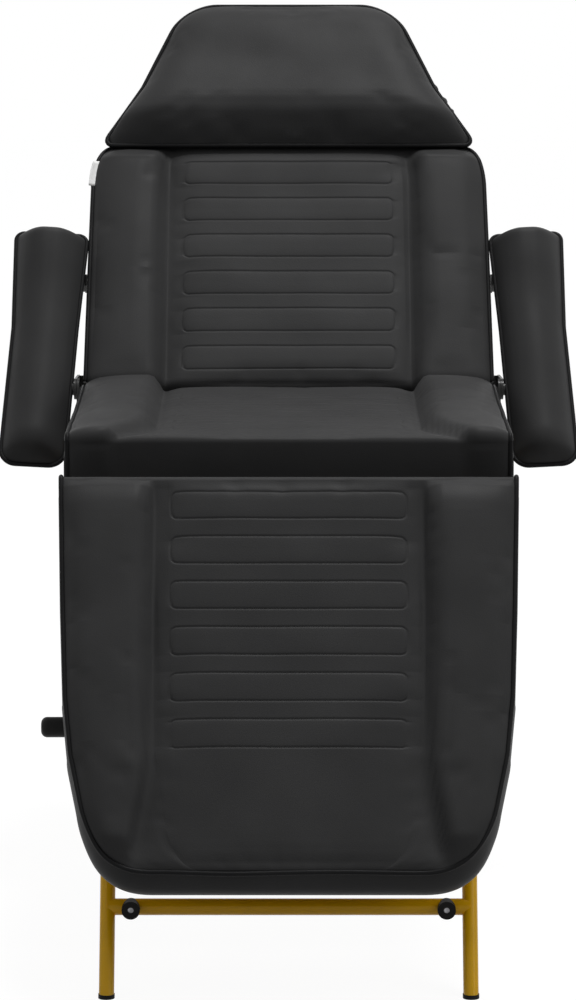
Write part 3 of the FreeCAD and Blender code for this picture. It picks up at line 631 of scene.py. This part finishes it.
def end_rows(face, radius, face_rows, edge_rows, face_share, edge_share):
    # Rows up an end face and round its top edge. A row holds the place along the section,
    # the level, the normal's parts ahead and up, and the share of the height it gets.
    rows = []
    for z in np.linspace(-THICKNESS, -radius, face_rows)[:-1]:
        rows.append((face, z, -1.0, 0.0, face_share(z)))
    for a in np.linspace(0, QUARTER, edge_rows):
        along = face + radius - radius * math.cos(a)
        level = -radius + radius * math.sin(a)
        rows.append((along, level, -math.cos(a), math.sin(a), edge_share(a)))
    return rows


def no_share(_):
    return 0.0


def raised_sheet(x, rows, height, ribs, inner):
    # Grid points of a bed section: base form, cloth swell, then the ribs along the normal.
    s = rows[:, 0][:, None]
    ahead = rows[:, 2][:, None]
    up = rows[:, 3][:, None]
    base = np.stack([x, s + ahead * height, rows[:, 1][:, None] + up * height], 2)
    pins = seam_pins(x, inner) | (up < PIN_STEEP)
    base = base + swelled(base, pins, BED_SWELL, COVER_SLACK)
    base[:, :, 1] += ahead * ribs
    base[:, :, 2] += up * ribs
    return base


# Seat
SEAT_RIB_START = 0.064
SEAT_SETBACK = 0.004
SEAT_EDGE = 0.010
SEAT_FACE_ROWS = 12
SEAT_EDGE_ROWS = 16
SEAT_FACE_SHARE = 0.45
SEAT_EDGE_SHARE = 0.3
SEAT_LIP_SHARE = 0.65
SEAT_SHARE_GAIN = 0.35
SEAT_SHARE_FULL = 0.11
SEAT_SIDE_DRAW = 0.006
SEAT_SWEEP = 0.060
SEAT_SWEEP_RUN = 0.11
SEAT_SEED = 3
SEAT_PIPING_LIFT = 0.0005


def seat_face_share(z):
    return (z + THICKNESS) / THICKNESS * SEAT_FACE_SHARE


def seat_edge_share(a):
    return SEAT_EDGE_SHARE + SEAT_SHARE_GAIN * math.sin(a)


def seat_path():
    face = END_GAP + SEAT_SETBACK
    rear = SEAT_DEPTH - END_GAP
    lip = face + SEAT_EDGE
    rows = end_rows(face, SEAT_EDGE, SEAT_FACE_ROWS, SEAT_EDGE_ROWS, seat_face_share, seat_edge_share)
    for s in graded(lip, rear - HINGE_EDGE, rib_marks(SEAT_RIB_START))[1:]:
        grown = float(smoothstep(lip, SEAT_SHARE_FULL, s))
        rows.append((s, 0.0, 0.0, 1.0, SEAT_LIP_SHARE + SEAT_SHARE_GAIN * grown))
    for a in np.linspace(QUARTER, 0, HINGE_EDGE_ROWS)[1:]:
        along = rear - HINGE_EDGE + HINGE_EDGE * math.cos(a)
        level = -HINGE_EDGE + HINGE_EDGE * math.sin(a)
        rows.append((along, level, math.cos(a), math.sin(a), math.sin(a)))
    for z in np.linspace(-HINGE_EDGE, -THICKNESS, HINGE_FACE_ROWS)[1:]:
        rows.append((rear, z, 1.0, 0.0, 0.0))
    return np.array(rows)


def make_seat():
    # The bolsters sweep outwards at the front lip.
    rows = seat_path()
    cols = bed_columns()
    s = rows[:, 0][:, None]
    draw = 1 - SEAT_SIDE_DRAW * np.sin(np.pi * np.clip(s / SEAT_DEPTH, 0, 1))
    x = cols[None, :] * SEAT_HALF * draw
    sweep = (1 - np.clip((s - END_GAP) / SEAT_SWEEP_RUN, 0, 1)) ** 2
    inner = SEAT_INNER + SEAT_SWEEP * sweep
    height = bolster_height(x, SEAT_HALF * draw, inner) + soft_waves(x, s, SEAT_SEED, BED_WAVE)
    ribs = bed_ribs(rows, x, SEAT_RIB_START)
    verts = raised_sheet(x, rows, height * rows[:, 4][:, None], ribs, inner)
    points, faces = sheet_mesh(verts)
    n, m = x.shape
    edges = {}
    for side, first in ((-1, 0), (1, m - 1)):
        chain = [i * m + first for i in range(n)]
        edges[side] = [points[i].copy() for i in chain]
        band_chain(points, faces, chain, [(side, 0)] * n, -THICKNESS, BOX_BULGE, BOX_TUCK)
    make_pad("seat_upholstery", points, faces, seat_place(), "base", "seat_cushion")
    for side, name in ((-1, "left"), (1, "right")):
        shift = np.array([side * PIPING_OUT, 0, SEAT_PIPING_LIFT])
        line = [p + shift for p in edges[side] if p[1] < SEAT_DEPTH - PIPING_END]
        make_piping("seat_piping_" + name, line, seat_place(), "base")


# Legrest
LEG_LENGTH = 0.556
LEG_CORNER = 0.086
LEG_CORNER_WIDTH = 0.09
LEG_CORNER_POWER = 2.2
LEG_CORNER_FULL = 0.006
LEG_CORNER_START = LEG_LENGTH - LEG_CORNER
LEG_PLACES = [0, 0.18, 0.32, 0.40, LEG_CORNER_START]
LEG_HALVES = [0.3005, 0.295, 0.289, 0.2805, 0.266]
LEG_EDGE = 0.009
LEG_FACE_ROWS = 10
LEG_EDGE_ROWS = 9
LEG_CORNER_ROWS = 26
LEG_RIB_START = 0.027
LEG_FADE_RUN = 0.05
LEG_FADE_LEAST = 0.4
LEG_FLARE = 0.018
LEG_FLARE_RUN = (0.40, 0.55)
LEG_END_RUN = 0.045
LEG_END_DROP = 0.005
LEG_END_ROUND = 0.02
LEG_SEED = 5
LEG_WAVE = 0.0014
FOOT_BULGE = 0.006
FOOT_FLARE = 0.011
FOOT_PIPING_SEED = 8
FOOT_PIPING_WAVE = 0.004
FOOT_PIPING_RUN = 0.1
LEG_PIPING_LOW = -0.03


def leg_half(s):
    # Plan of the seam: sides that draw in slowly, then a round corner.
    straight = np.interp(s, LEG_PLACES, LEG_HALVES)
    into = np.clip((s - LEG_CORNER_START) / LEG_CORNER, 0, 1)
    rounded = 1 - (1 - into ** LEG_CORNER_POWER) ** (1 / LEG_CORNER_POWER)
    corner = LEG_CORNER_WIDTH * rounded + LEG_CORNER_FULL * np.sin(np.pi * into)
    return straight - corner


def leg_path():
    rows = end_rows(END_GAP, LEG_EDGE, LEG_FACE_ROWS, LEG_EDGE_ROWS, no_share, no_share)
    straight = list(graded(END_GAP + LEG_EDGE, LEG_CORNER_START, rib_marks(LEG_RIB_START)))[1:]
    turn = np.linspace(0, QUARTER, LEG_CORNER_ROWS)[1:]
    corner = [LEG_CORNER_START + LEG_CORNER * math.sin(a) for a in turn]
    for s in straight + corner:
        rows.append((s, 0.0, 0.0, 1.0, 1.0))
    return np.array(rows)


def leg_piping_line(edge, outs):
    # The seam's cord, which wanders a little along the foot end.
    keep = [i for i in range(len(edge)) if edge[i][2] > LEG_PIPING_LOW]
    xs = np.array([edge[i][0] for i in keep])
    ss = np.array([edge[i][1] for i in keep])
    wave = soft_waves(xs, ss, FOOT_PIPING_SEED, FOOT_PIPING_WAVE)
    line = []
    for i, w in zip(keep, wave):
        foot = smoothstep(LEG_LENGTH - FOOT_PIPING_RUN, LEG_LENGTH, edge[i][1])
        out = outs[i] * (PIPING_OUT + w * foot)
        line.append(edge[i] + np.array([out[0], out[1], PIPING_LIFT]))
    return line


def make_legrest():
    rows = leg_path()
    cols = bed_columns()
    s = rows[:, 0][:, None]
    half = leg_half(s)
    x = cols[None, :] * half
    end = LEG_LENGTH - s
    fade = smoothstep(0.0, LEG_FADE_RUN, s) * (1 - LEG_FADE_LEAST) + LEG_FADE_LEAST
    flare = LEG_FLARE * smoothstep(*LEG_FLARE_RUN, s)
    height = bolster_height(x, half, LEG_INNER + flare) * fade + soft_waves(x, s, LEG_SEED, LEG_WAVE)
    height = height * smoothstep(0.0, LEG_END_RUN, end)
    height = height * rows[:, 4][:, None] - LEG_END_DROP * (1 - dome(end, LEG_END_ROUND))
    ribs = bed_ribs(rows, x, LEG_RIB_START)
    verts = raised_sheet(x, rows, height, ribs, LEG_INNER)
    points, faces = sheet_mesh(verts)
    chain = open_chain(*x.shape)
    edge = [points[i].copy() for i in chain]
    outs = open_outward(edge)
    towards_foot = np.clip(outs[:, 1], 0, 1)
    bulge = BOX_BULGE + FOOT_BULGE * towards_foot
    tuck = BOX_TUCK - FOOT_FLARE * towards_foot
    band_chain(points, faces, chain, outs, -THICKNESS, bulge, tuck)
    make_pad("legrest_upholstery", points, faces, leg_place(), "legrest", "legrest_cushion")
    make_piping("legrest_piping", leg_piping_line(edge, outs), leg_place(), "legrest")


# Backrest
BACK_LENGTH = 0.640
BACK_RIB_START = 0.031
SHOULDER = 0.344
SHOULDER_FALL = 0.027
PILLOW_START = 0.422
BACK_PLACES = [0, 0.255, SHOULDER]
BACK_HALVES = [0.2935, 0.2905, 0.289]
NECK_HALVES = [0.262, 0.140]
PILLOW_MARKS = (0.003, 0.01)
UNDER_BEFORE = 0.03
UNDER_AFTER = 0.01
UNDER_DROP = 0.008
BACK_END_DROP = 0.02
BACK_END_ROUND = 0.02
BACK_SEED = 11
BACK_BULGE = 0.003
PIPING_UNDER = 0.02


def back_half(s):
    # Plan of the seam: nearly straight sides, round shoulders, and a neck under the pillow.
    straight = np.interp(s, BACK_PLACES, BACK_HALVES)
    neck = np.interp(s, [PILLOW_START, BACK_LENGTH], NECK_HALVES)
    into = np.clip((s - SHOULDER) / (PILLOW_START - SHOULDER), 0, 1)
    rounded = BACK_HALVES[-1] - SHOULDER_FALL * (1 - np.sqrt(1 - into ** 2))
    shoulder = np.where(s < PILLOW_START, rounded, neck)
    return np.where(s < SHOULDER, straight, shoulder)


def back_path():
    rows = end_rows(END_GAP, HINGE_EDGE, HINGE_FACE_ROWS, HINGE_EDGE_ROWS, no_share, math.sin)
    marks = rib_marks(BACK_RIB_START) + [PILLOW_START - before for before in PILLOW_MARKS]
    for s in list(graded(END_GAP + HINGE_EDGE, BACK_LENGTH, marks))[1:]:
        rows.append((s, 0.0, 0.0, 1.0, 1.0))
    return np.array(rows)


def back_piping_line(edge, outs, side):
    line = []
    for p, o in zip(edge, outs):
        if p[0] * side > 0 and PIPING_END < p[1] < PILLOW_START + PIPING_UNDER:
            line.append(p + np.array([o[0] * PIPING_OUT, o[1] * PIPING_OUT, PIPING_LIFT]))
    return line


def make_backrest():
    rows = back_path()
    cols = bed_columns()
    s = rows[:, 0][:, None]
    half = back_half(s)
    x = cols[None, :] * half
    height = bolster_height(x, half, BACK_INNER) + soft_waves(x, s, BACK_SEED, BED_WAVE)
    height = height * rows[:, 4][:, None]
    ribs = bed_ribs(rows, x, BACK_RIB_START)
    under_pillow = smoothstep(PILLOW_START - UNDER_BEFORE, PILLOW_START + UNDER_AFTER, s)
    height = height * (1 - under_pillow) - UNDER_DROP * under_pillow
    height = height - BACK_END_DROP * (1 - dome(BACK_LENGTH - s, BACK_END_ROUND))
    verts = raised_sheet(x, rows, height, ribs * (1 - under_pillow), BACK_INNER)
    points, faces = sheet_mesh(verts)
    chain = open_chain(*x.shape)
    edge = [points[i].copy() for i in chain]
    outs = open_outward(edge)
    band_chain(points, faces, chain, outs, -THICKNESS, BACK_BULGE, BOX_TUCK)
    place = back_place()
    make_pad("backrest_upholstery", points, faces, place, "backrest", "backrest_cushion")
    for side, name in ((-1, "left"), (1, "right")):
        line = back_piping_line(edge, outs, side)
        make_piping("backrest_piping_" + name, line, place, "backrest")


# Outlines of the pads that are domed all round
DOMED_STEP = 0.004
DOMED_TURN_COUNT = 14
RIDGE_SOFT = 0.025
RIDGE_FOOT = 0.006


def corner_cut(near, radius):
    inside = radius - np.clip(near, 0, radius)
    return radius - np.sqrt(np.clip(radius ** 2 - inside ** 2, 0, None))


def corner_half(s, places, halves, low_radius, high_radius):
    straight = np.interp(s, places, halves)
    return straight - corner_cut(s - places[0], low_radius) - corner_cut(places[-1] - s, high_radius)


def slope_up(distance, width):
    # A straight rise to full height, with a soft ridge.
    t = distance / width
    ramp = 0.5 * (t + 1 - np.sqrt((t - 1) ** 2 + RIDGE_SOFT))
    return np.clip(ramp + RIDGE_FOOT, 0, 1) / (1 - RIDGE_FOOT)


def end_graded(low, high, radius):
    # Steps that are fine at both rounded ends.
    turn = np.linspace(0, QUARTER, DOMED_TURN_COUNT)
    first = low + radius * (1 - np.cos(turn))
    last = high - radius * (1 - np.cos(turn[::-1]))
    count = int((high - low - 2 * radius) / DOMED_STEP)
    middle = np.linspace(low + radius, high - radius, count + 2)[1:-1]
    return np.concatenate([first, middle, last])


# Pillow
PILLOW_BEND = 0.523
PILLOW_END = 0.669
PILLOW_PLACES = [PILLOW_START, PILLOW_BEND, PILLOW_END]
PILLOW_HALVES = [0.277, 0.218, 0.156]
PILLOW_CORNER = 0.016
PILLOW_TOP_CORNER = 0.048
PILLOW_RISE_PLACES = [PILLOW_START, 0.47, 0.56, PILLOW_END]
PILLOW_RISES = [0.041, 0.040, 0.029, 0.017]
PILLOW_LIP = 0.040
PILLOW_SIDE_ROUND = 0.07
PILLOW_TOP_ROUND = 0.05
PILLOW_FULLNESS = 0.8
PILLOW_COLUMNS = 61
PILLOW_COLUMN_BIAS = 0.35
PILLOW_SEED = 21
PILLOW_WAVE = 0.002
PILLOW_SWELL = 0.003
PILLOW_BASE = 0.006
PILLOW_TOP_LIFT = 0.008
PILLOW_LIFT_START = PILLOW_START + 0.02
PILLOW_BACK = -0.0075
PILLOW_BULGE = 0.002
PILLOW_TUCK = 0.012
PILLOW_RINGS = 3


def pillow_columns():
    # Closer together towards the sides.
    turn = np.linspace(-QUARTER, QUARTER, PILLOW_COLUMNS)
    even = np.linspace(-1, 1, PILLOW_COLUMNS)
    return np.sin(turn) * PILLOW_COLUMN_BIAS + even * (1 - PILLOW_COLUMN_BIAS)


def make_pillow():
    s = end_graded(PILLOW_START, PILLOW_END, PILLOW_TOP_CORNER)[:, None]
    half = corner_half(s, PILLOW_PLACES, PILLOW_HALVES, PILLOW_CORNER, PILLOW_TOP_CORNER)
    x = pillow_columns()[None, :] * half
    side = dome(half - np.abs(x), PILLOW_SIDE_ROUND) ** PILLOW_FULLNESS
    top = dome(PILLOW_END - s, PILLOW_TOP_ROUND) ** PILLOW_FULLNESS
    cover = slope_up(s - PILLOW_START, PILLOW_LIP) * side * top
    rise = np.interp(s, PILLOW_RISE_PLACES, PILLOW_RISES)
    height = (rise + soft_waves(x, s, PILLOW_SEED, PILLOW_WAVE)) * cover
    plane = PILLOW_BASE + PILLOW_TOP_LIFT * smoothstep(PILLOW_LIFT_START, PILLOW_END, s)
    verts = np.stack([x, s + 0 * x, plane + height], 2)
    verts = verts + swelled(verts, rim_pins(x), PILLOW_SWELL, COVER_SLACK)
    names = ("pillow_upholstery", "pillow_piping")
    edge, outs = make_domed_pad(names, verts, back_place(), "headrest", "headrest_pillow",
                                PILLOW_BACK, PILLOW_BULGE, PILLOW_TUCK, PILLOW_RINGS)
    make_hood(edge, outs)


# Hood: the pocket behind the pillow that slips over the backrest's top
HOOD_TURN = 0.010
HOOD_HEM_SHARE = 0.06
HOOD_LOW = PILLOW_START + 0.022
HOOD_BOTTOM = -THICKNESS - BOARD - 0.004
HOOD_SEAM_DROP = 0.002
HOOD_PANEL_DROP = 0.001
HOOD_PANEL_ROWS = 6
# Share of the way down, and how far the cloth stands out there
HOOD_LEVELS = [(0.0, -0.002), (0.08, 0.003), (0.25, 0.004), (0.6, 0.005), (1.0, 0.003)]
HOOD_SHELL = 0.0016
RUFFLE_LEFT = 0.003
RUFFLE_RIGHT = 0.0055
RUFFLE_PLACE = 0.505
RUFFLE_REACH = 0.045
RUFFLE_PITCH = 0.022
RUFFLE_WANDER = 2
RUFFLE_WANDER_RATE = 40
RUFFLE_MEAN = 0.75
RUFFLE_SWING = 0.5
RUFFLE_FIRST = 0.1
RUFFLE_PACE = 3


def hood_ruffle(xs, ss):
    # Gathers where the hood's side is loose.
    near = np.exp(-((ss - RUFFLE_PLACE) / RUFFLE_REACH) ** 2)
    loose = np.where(xs > 0, RUFFLE_RIGHT, RUFFLE_LEFT) * near
    phase = 2 * np.pi * ss / RUFFLE_PITCH + RUFFLE_WANDER * np.sin(RUFFLE_WANDER_RATE * ss)
    return loose * (RUFFLE_MEAN + RUFFLE_SWING * np.sin(phase))


def make_hood(edge, outs):
    # Side and top panels from the pillow's rim, then a back panel down to an open hem.
    keep = [i for i in range(len(edge)) if edge[i][1] > HOOD_LOW]
    rim = [edge[i] for i in keep]
    away = [outs[i] for i in keep]
    ruffle = hood_ruffle(np.array([p[0] for p in rim]), np.array([p[1] for p in rim]))
    verts = []
    for share, out in HOOD_LEVELS:
        fullness = math.sin(math.pi * min(share * RUFFLE_PACE + RUFFLE_FIRST, 1))
        for p, o, r in zip(rim, away, ruffle):
            lift = out + r * fullness
            level = p[2] - HOOD_SEAM_DROP + (HOOD_BOTTOM - p[2]) * share
            verts.append((p[0] + o[0] * lift, p[1] + o[1] * lift, level))
    for share in np.linspace(0, 1, HOOD_PANEL_ROWS):
        for p, o in zip(rim, away):
            x = p[0] - o[0] * HOOD_TURN
            s = p[1] - o[1] * HOOD_TURN
            down = s + (HOOD_LOW - s) * share
            verts.append((x * (1 - HOOD_HEM_SHARE * share), down, HOOD_BOTTOM - HOOD_PANEL_DROP))
    faces = grid_faces(len(HOOD_LEVELS) + HOOD_PANEL_ROWS, len(rim))
    hood = make_piece("headrest_hood_cloth", verts, faces, MATERIALS["upholstery"], back_place())
    shell = hood.modifiers.new("shell", "SOLIDIFY")
    shell.thickness = HOOD_SHELL
    shell.offset = 1
    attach(hood, "headrest")
    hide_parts("headrest_hood")


# Armrests
ARM_MIDDLE = 0.3475
ARM_PIVOT = 0.239
ARM_SPLAY = math.radians(3.4)
ARM_WIDTH = 0.090
ARM_FLARE_OUT = 0.010
ARM_FLARE_IN = 0.003
ARM_FLARE_START = 0.10
ARM_LOW = -0.130
ARM_LENGTH = 0.393
ARM_END = ARM_LOW + ARM_LENGTH
ARM_HEIGHT = 0.038
ARM_FAR_HEIGHT = 0.046
ARM_CORNER = 0.022
ARM_FAR_CORNER = 0.012
ARM_CROWN = 0.044
ARM_CROWN_FULLNESS = 0.8
ARM_NEAR_ROUND = 0.045
ARM_FAR_ROUND = 0.022
ARM_COLUMNS = 41
ARM_SEED = 41
ARM_WAVE = 0.0016
ARM_WAVE_RIM = 0.03
ARM_SWELL = 0.003
ARM_SLACK = 0.0
ARM_BASE = 0.002
ARM_BOTTOM = -0.0004
ARM_BULGE = 0.0005
ARM_TUCK = 0.004
ARM_RINGS = 2


def crown(distance, width):
    # A rounded rise that meets the seam at a slant, so the piping lies in a crease.
    return np.sin(0.5 * math.pi * np.clip(distance / width, 0, 1)) ** ARM_CROWN_FULLNESS


def arm_half(s, flare):
    halves = [ARM_WIDTH / 2, ARM_WIDTH / 2, ARM_WIDTH / 2 + flare]
    return corner_half(s, [ARM_LOW, ARM_FLARE_START, ARM_END], halves, ARM_CORNER, ARM_FAR_CORNER)


def arm_place(side):
    pivot = Matrix.Translation((side * ARM_MIDDLE, ARM_PIVOT, 0))
    return back_place() @ pivot @ Matrix.Rotation(side * ARM_SPLAY, 4, "Z")


def make_armrest(name, side):
    s = end_graded(ARM_LOW, ARM_END, ARM_CORNER)[:, None]
    cols = np.sin(np.linspace(-QUARTER, QUARTER, ARM_COLUMNS))[None, :]
    half = np.where(cols * side > 0, arm_half(s, ARM_FLARE_OUT), arm_half(s, ARM_FLARE_IN))
    x = cols * half
    rim = half - np.abs(x)
    near = s - ARM_LOW
    far = ARM_END - s
    tall = ARM_HEIGHT + (ARM_FAR_HEIGHT - ARM_HEIGHT) * smoothstep(ARM_FLARE_START, ARM_END, s)
    height = tall * crown(rim, ARM_CROWN) * dome(near, ARM_NEAR_ROUND) * dome(far, ARM_FAR_ROUND)
    cover = dome(rim, ARM_WAVE_RIM) * dome(near, ARM_WAVE_RIM) * dome(far, ARM_WAVE_RIM)
    height = height + soft_waves(x, s, ARM_SEED + side, ARM_WAVE) * cover
    verts = np.stack([x, s - ARM_PIVOT + 0 * x, ARM_BASE + height], 2)
    verts = verts + swelled(verts, rim_pins(x), ARM_SWELL, ARM_SLACK)
    names = ("armrest_upholstery_" + name, "armrest_piping_" + name)
    make_domed_pad(names, verts, arm_place(side), "armrest_" + name, "armrest_pad_" + name,
                   ARM_BOTTOM, ARM_BULGE, ARM_TUCK, ARM_RINGS)


# Blank sewn-in tab in the backrest's left seam
TAB_START = 0.350
TAB_END = 0.394
TAB_WIDTH = 0.011
TAB_HIDDEN = 0.003
TAB_LIFT = 0.0025
TAB_SKEW = 0.003
TAB_BEND = 0.5
TAB_SHELL = 0.0007
TAB_ROWS = 10
TAB_COLUMNS = 6


def make_tab():
    # It stands out of the seam beside the piping and bends up a little.
    verts = []
    for s in np.linspace(TAB_START, TAB_END, TAB_ROWS):
        edge = float(back_half(np.array(s)))
        level = float(bolster_height(np.array(edge), edge, BACK_INNER)) + TAB_LIFT
        for share in np.linspace(0, 1, TAB_COLUMNS):
            out = TAB_WIDTH * share - TAB_HIDDEN
            bend = TAB_BEND * TAB_WIDTH * share ** 2
            verts.append((-edge - out, s - TAB_SKEW * share, level + bend))
    faces = grid_faces(TAB_ROWS, TAB_COLUMNS)
    tab = make_piece("seam_tab", verts, faces, MATERIALS["tab"], back_place())
    shell = tab.modifiers.new("shell", "SOLIDIFY")
    shell.thickness = TAB_SHELL
    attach(tab, "backrest")


# Finish of the CAD pieces: a node's own where it has one, or else its slot's
def dress_nodes():
    for part in frame["record"]["subparts"]:
        node = frame["nodes"][part["node"]]
        node.data.materials.clear()
        finish = MATERIALS.get(part["node"], MATERIALS[part["material_slot"]])
        node.data.materials.append(finish)


# Stage: pale floor, soft light and the camera of the photograph
WHITE = (1, 1, 1, 1)
FLOOR_SIZE = 30
FLOOR_GREY = 0.3
FLOOR_ROUGH = 0.9
FLOOR_GLOW = 1.5
FLOOR_GLOW_SHARE = 0.62
SKY_FALL = 1.5
SKY_RIM = 0.03
SKY_ZENITH = 0.65
SENSOR = 36.0
CAMERA_SIDE = -0.001
CAMERA_AHEAD = 6.387
CAMERA_HEIGHT = 1.5604
CAMERA_DOWN = 8.40
CAMERA_LENS = 173.2


def background_rays(tree):
    # Rays that show the pale background: straight to the camera, mirrored and let through.
    path = tree.nodes.new("ShaderNodeLightPath")
    shown = path.outputs["Is Camera Ray"]
    for name in ("Is Glossy Ray", "Is Transmission Ray"):
        either = math_node(tree, "MAXIMUM")
        tree.links.new(shown, either.inputs[0])
        tree.links.new(path.outputs[name], either.inputs[1])
        shown = either.outputs[0]
    return shown


def make_floor():
    # It glows for those rays, and the rest of it takes light and shadow.
    bpy.ops.mesh.primitive_plane_add(size=FLOOR_SIZE, location=(0, 0, 0))
    floor = bpy.context.object
    floor.name = "floor"
    material, tree, shader = new_material("pale_floor", grey(FLOOR_GREY), FLOOR_ROUGH)
    glow = tree.nodes.new("ShaderNodeEmission")
    glow.inputs["Color"].default_value = WHITE
    glow.inputs["Strength"].default_value = FLOOR_GLOW
    share = math_node(tree, "MULTIPLY")
    share.inputs[1].default_value = FLOOR_GLOW_SHARE
    tree.links.new(background_rays(tree), share.inputs[0])
    mix = tree.nodes.new("ShaderNodeMixShader")
    tree.links.new(share.outputs[0], mix.inputs["Fac"])
    tree.links.new(shader.outputs[0], mix.inputs[1])
    tree.links.new(glow.outputs[0], mix.inputs[2])
    tree.links.new(mix.outputs[0], tree.nodes["Material Output"].inputs["Surface"])
    floor.data.materials.append(material)


def make_world():
    # White for those rays; for the light, a sky that is brighter towards the zenith.
    world = bpy.data.worlds.new("studio")
    bpy.context.scene.world = world
    world.use_nodes = True
    tree = world.node_tree
    split = tree.nodes.new("ShaderNodeSeparateXYZ")
    tree.links.new(tree.nodes.new("ShaderNodeTexCoord").outputs["Generated"], split.inputs[0])
    height = math_node(tree, "POWER")
    height.use_clamp = True
    height.inputs[1].default_value = SKY_FALL
    tree.links.new(split.outputs["Z"], height.inputs[0])
    sky = mapped(tree, height.outputs[0], SKY_RIM, SKY_ZENITH)
    strength = tree.nodes.new("ShaderNodeMix")
    tree.links.new(background_rays(tree), strength.inputs[0])
    tree.links.new(sky, strength.inputs[2])
    strength.inputs[3].default_value = 1.0
    back = tree.nodes["Background"]
    back.inputs["Color"].default_value = WHITE
    tree.links.new(strength.outputs[0], back.inputs["Strength"])


def make_lamp(name, place, aim, size, power):
    data = bpy.data.lights.new(name, "AREA")
    data.shape = "RECTANGLE"
    data.size, data.size_y = size
    data.energy = power
    lamp = bpy.data.objects.new(name, data)
    lamp.location = place
    lamp.rotation_euler = (Vector(aim) - Vector(place)).to_track_quat("-Z", "Y").to_euler()
    bpy.context.scene.collection.objects.link(lamp)


def make_lights():
    make_lamp("key_above", place=(0.9, 0.4, 6.5), aim=(0, 0.1, 0.7), size=(1.6, 1.6), power=225)
    make_lamp("fill_left", place=(-3.0, -2.6, 1.2), aim=(0, 0, 0.4), size=(1.2, 2.0), power=2.5)
    make_lamp("fill_right", place=(3.2, -2.2, 2.4), aim=(0, 0, 0.5), size=(1.2, 2.0), power=16)


def make_camera():
    data = bpy.data.cameras.new("camera")
    data.sensor_fit = "AUTO"
    data.sensor_width = SENSOR
    data.lens = CAMERA_LENS
    camera = bpy.data.objects.new("camera", data)
    camera.location = (CAMERA_SIDE, LIP_Y - CAMERA_AHEAD, CAMERA_HEIGHT)
    camera.rotation_euler = (math.radians(90 - CAMERA_DOWN), 0, 0)
    bpy.context.scene.collection.objects.link(camera)
    bpy.context.scene.camera = camera


make_camera()
make_world()
make_lights()
make_floor()
bpy.context.scene.view_settings.view_transform = "Standard"
dress_nodes()
make_seat()
make_legrest()
make_backrest()
make_pillow()
make_armrest("left", -1)
make_armrest("right", 1)
make_tab()
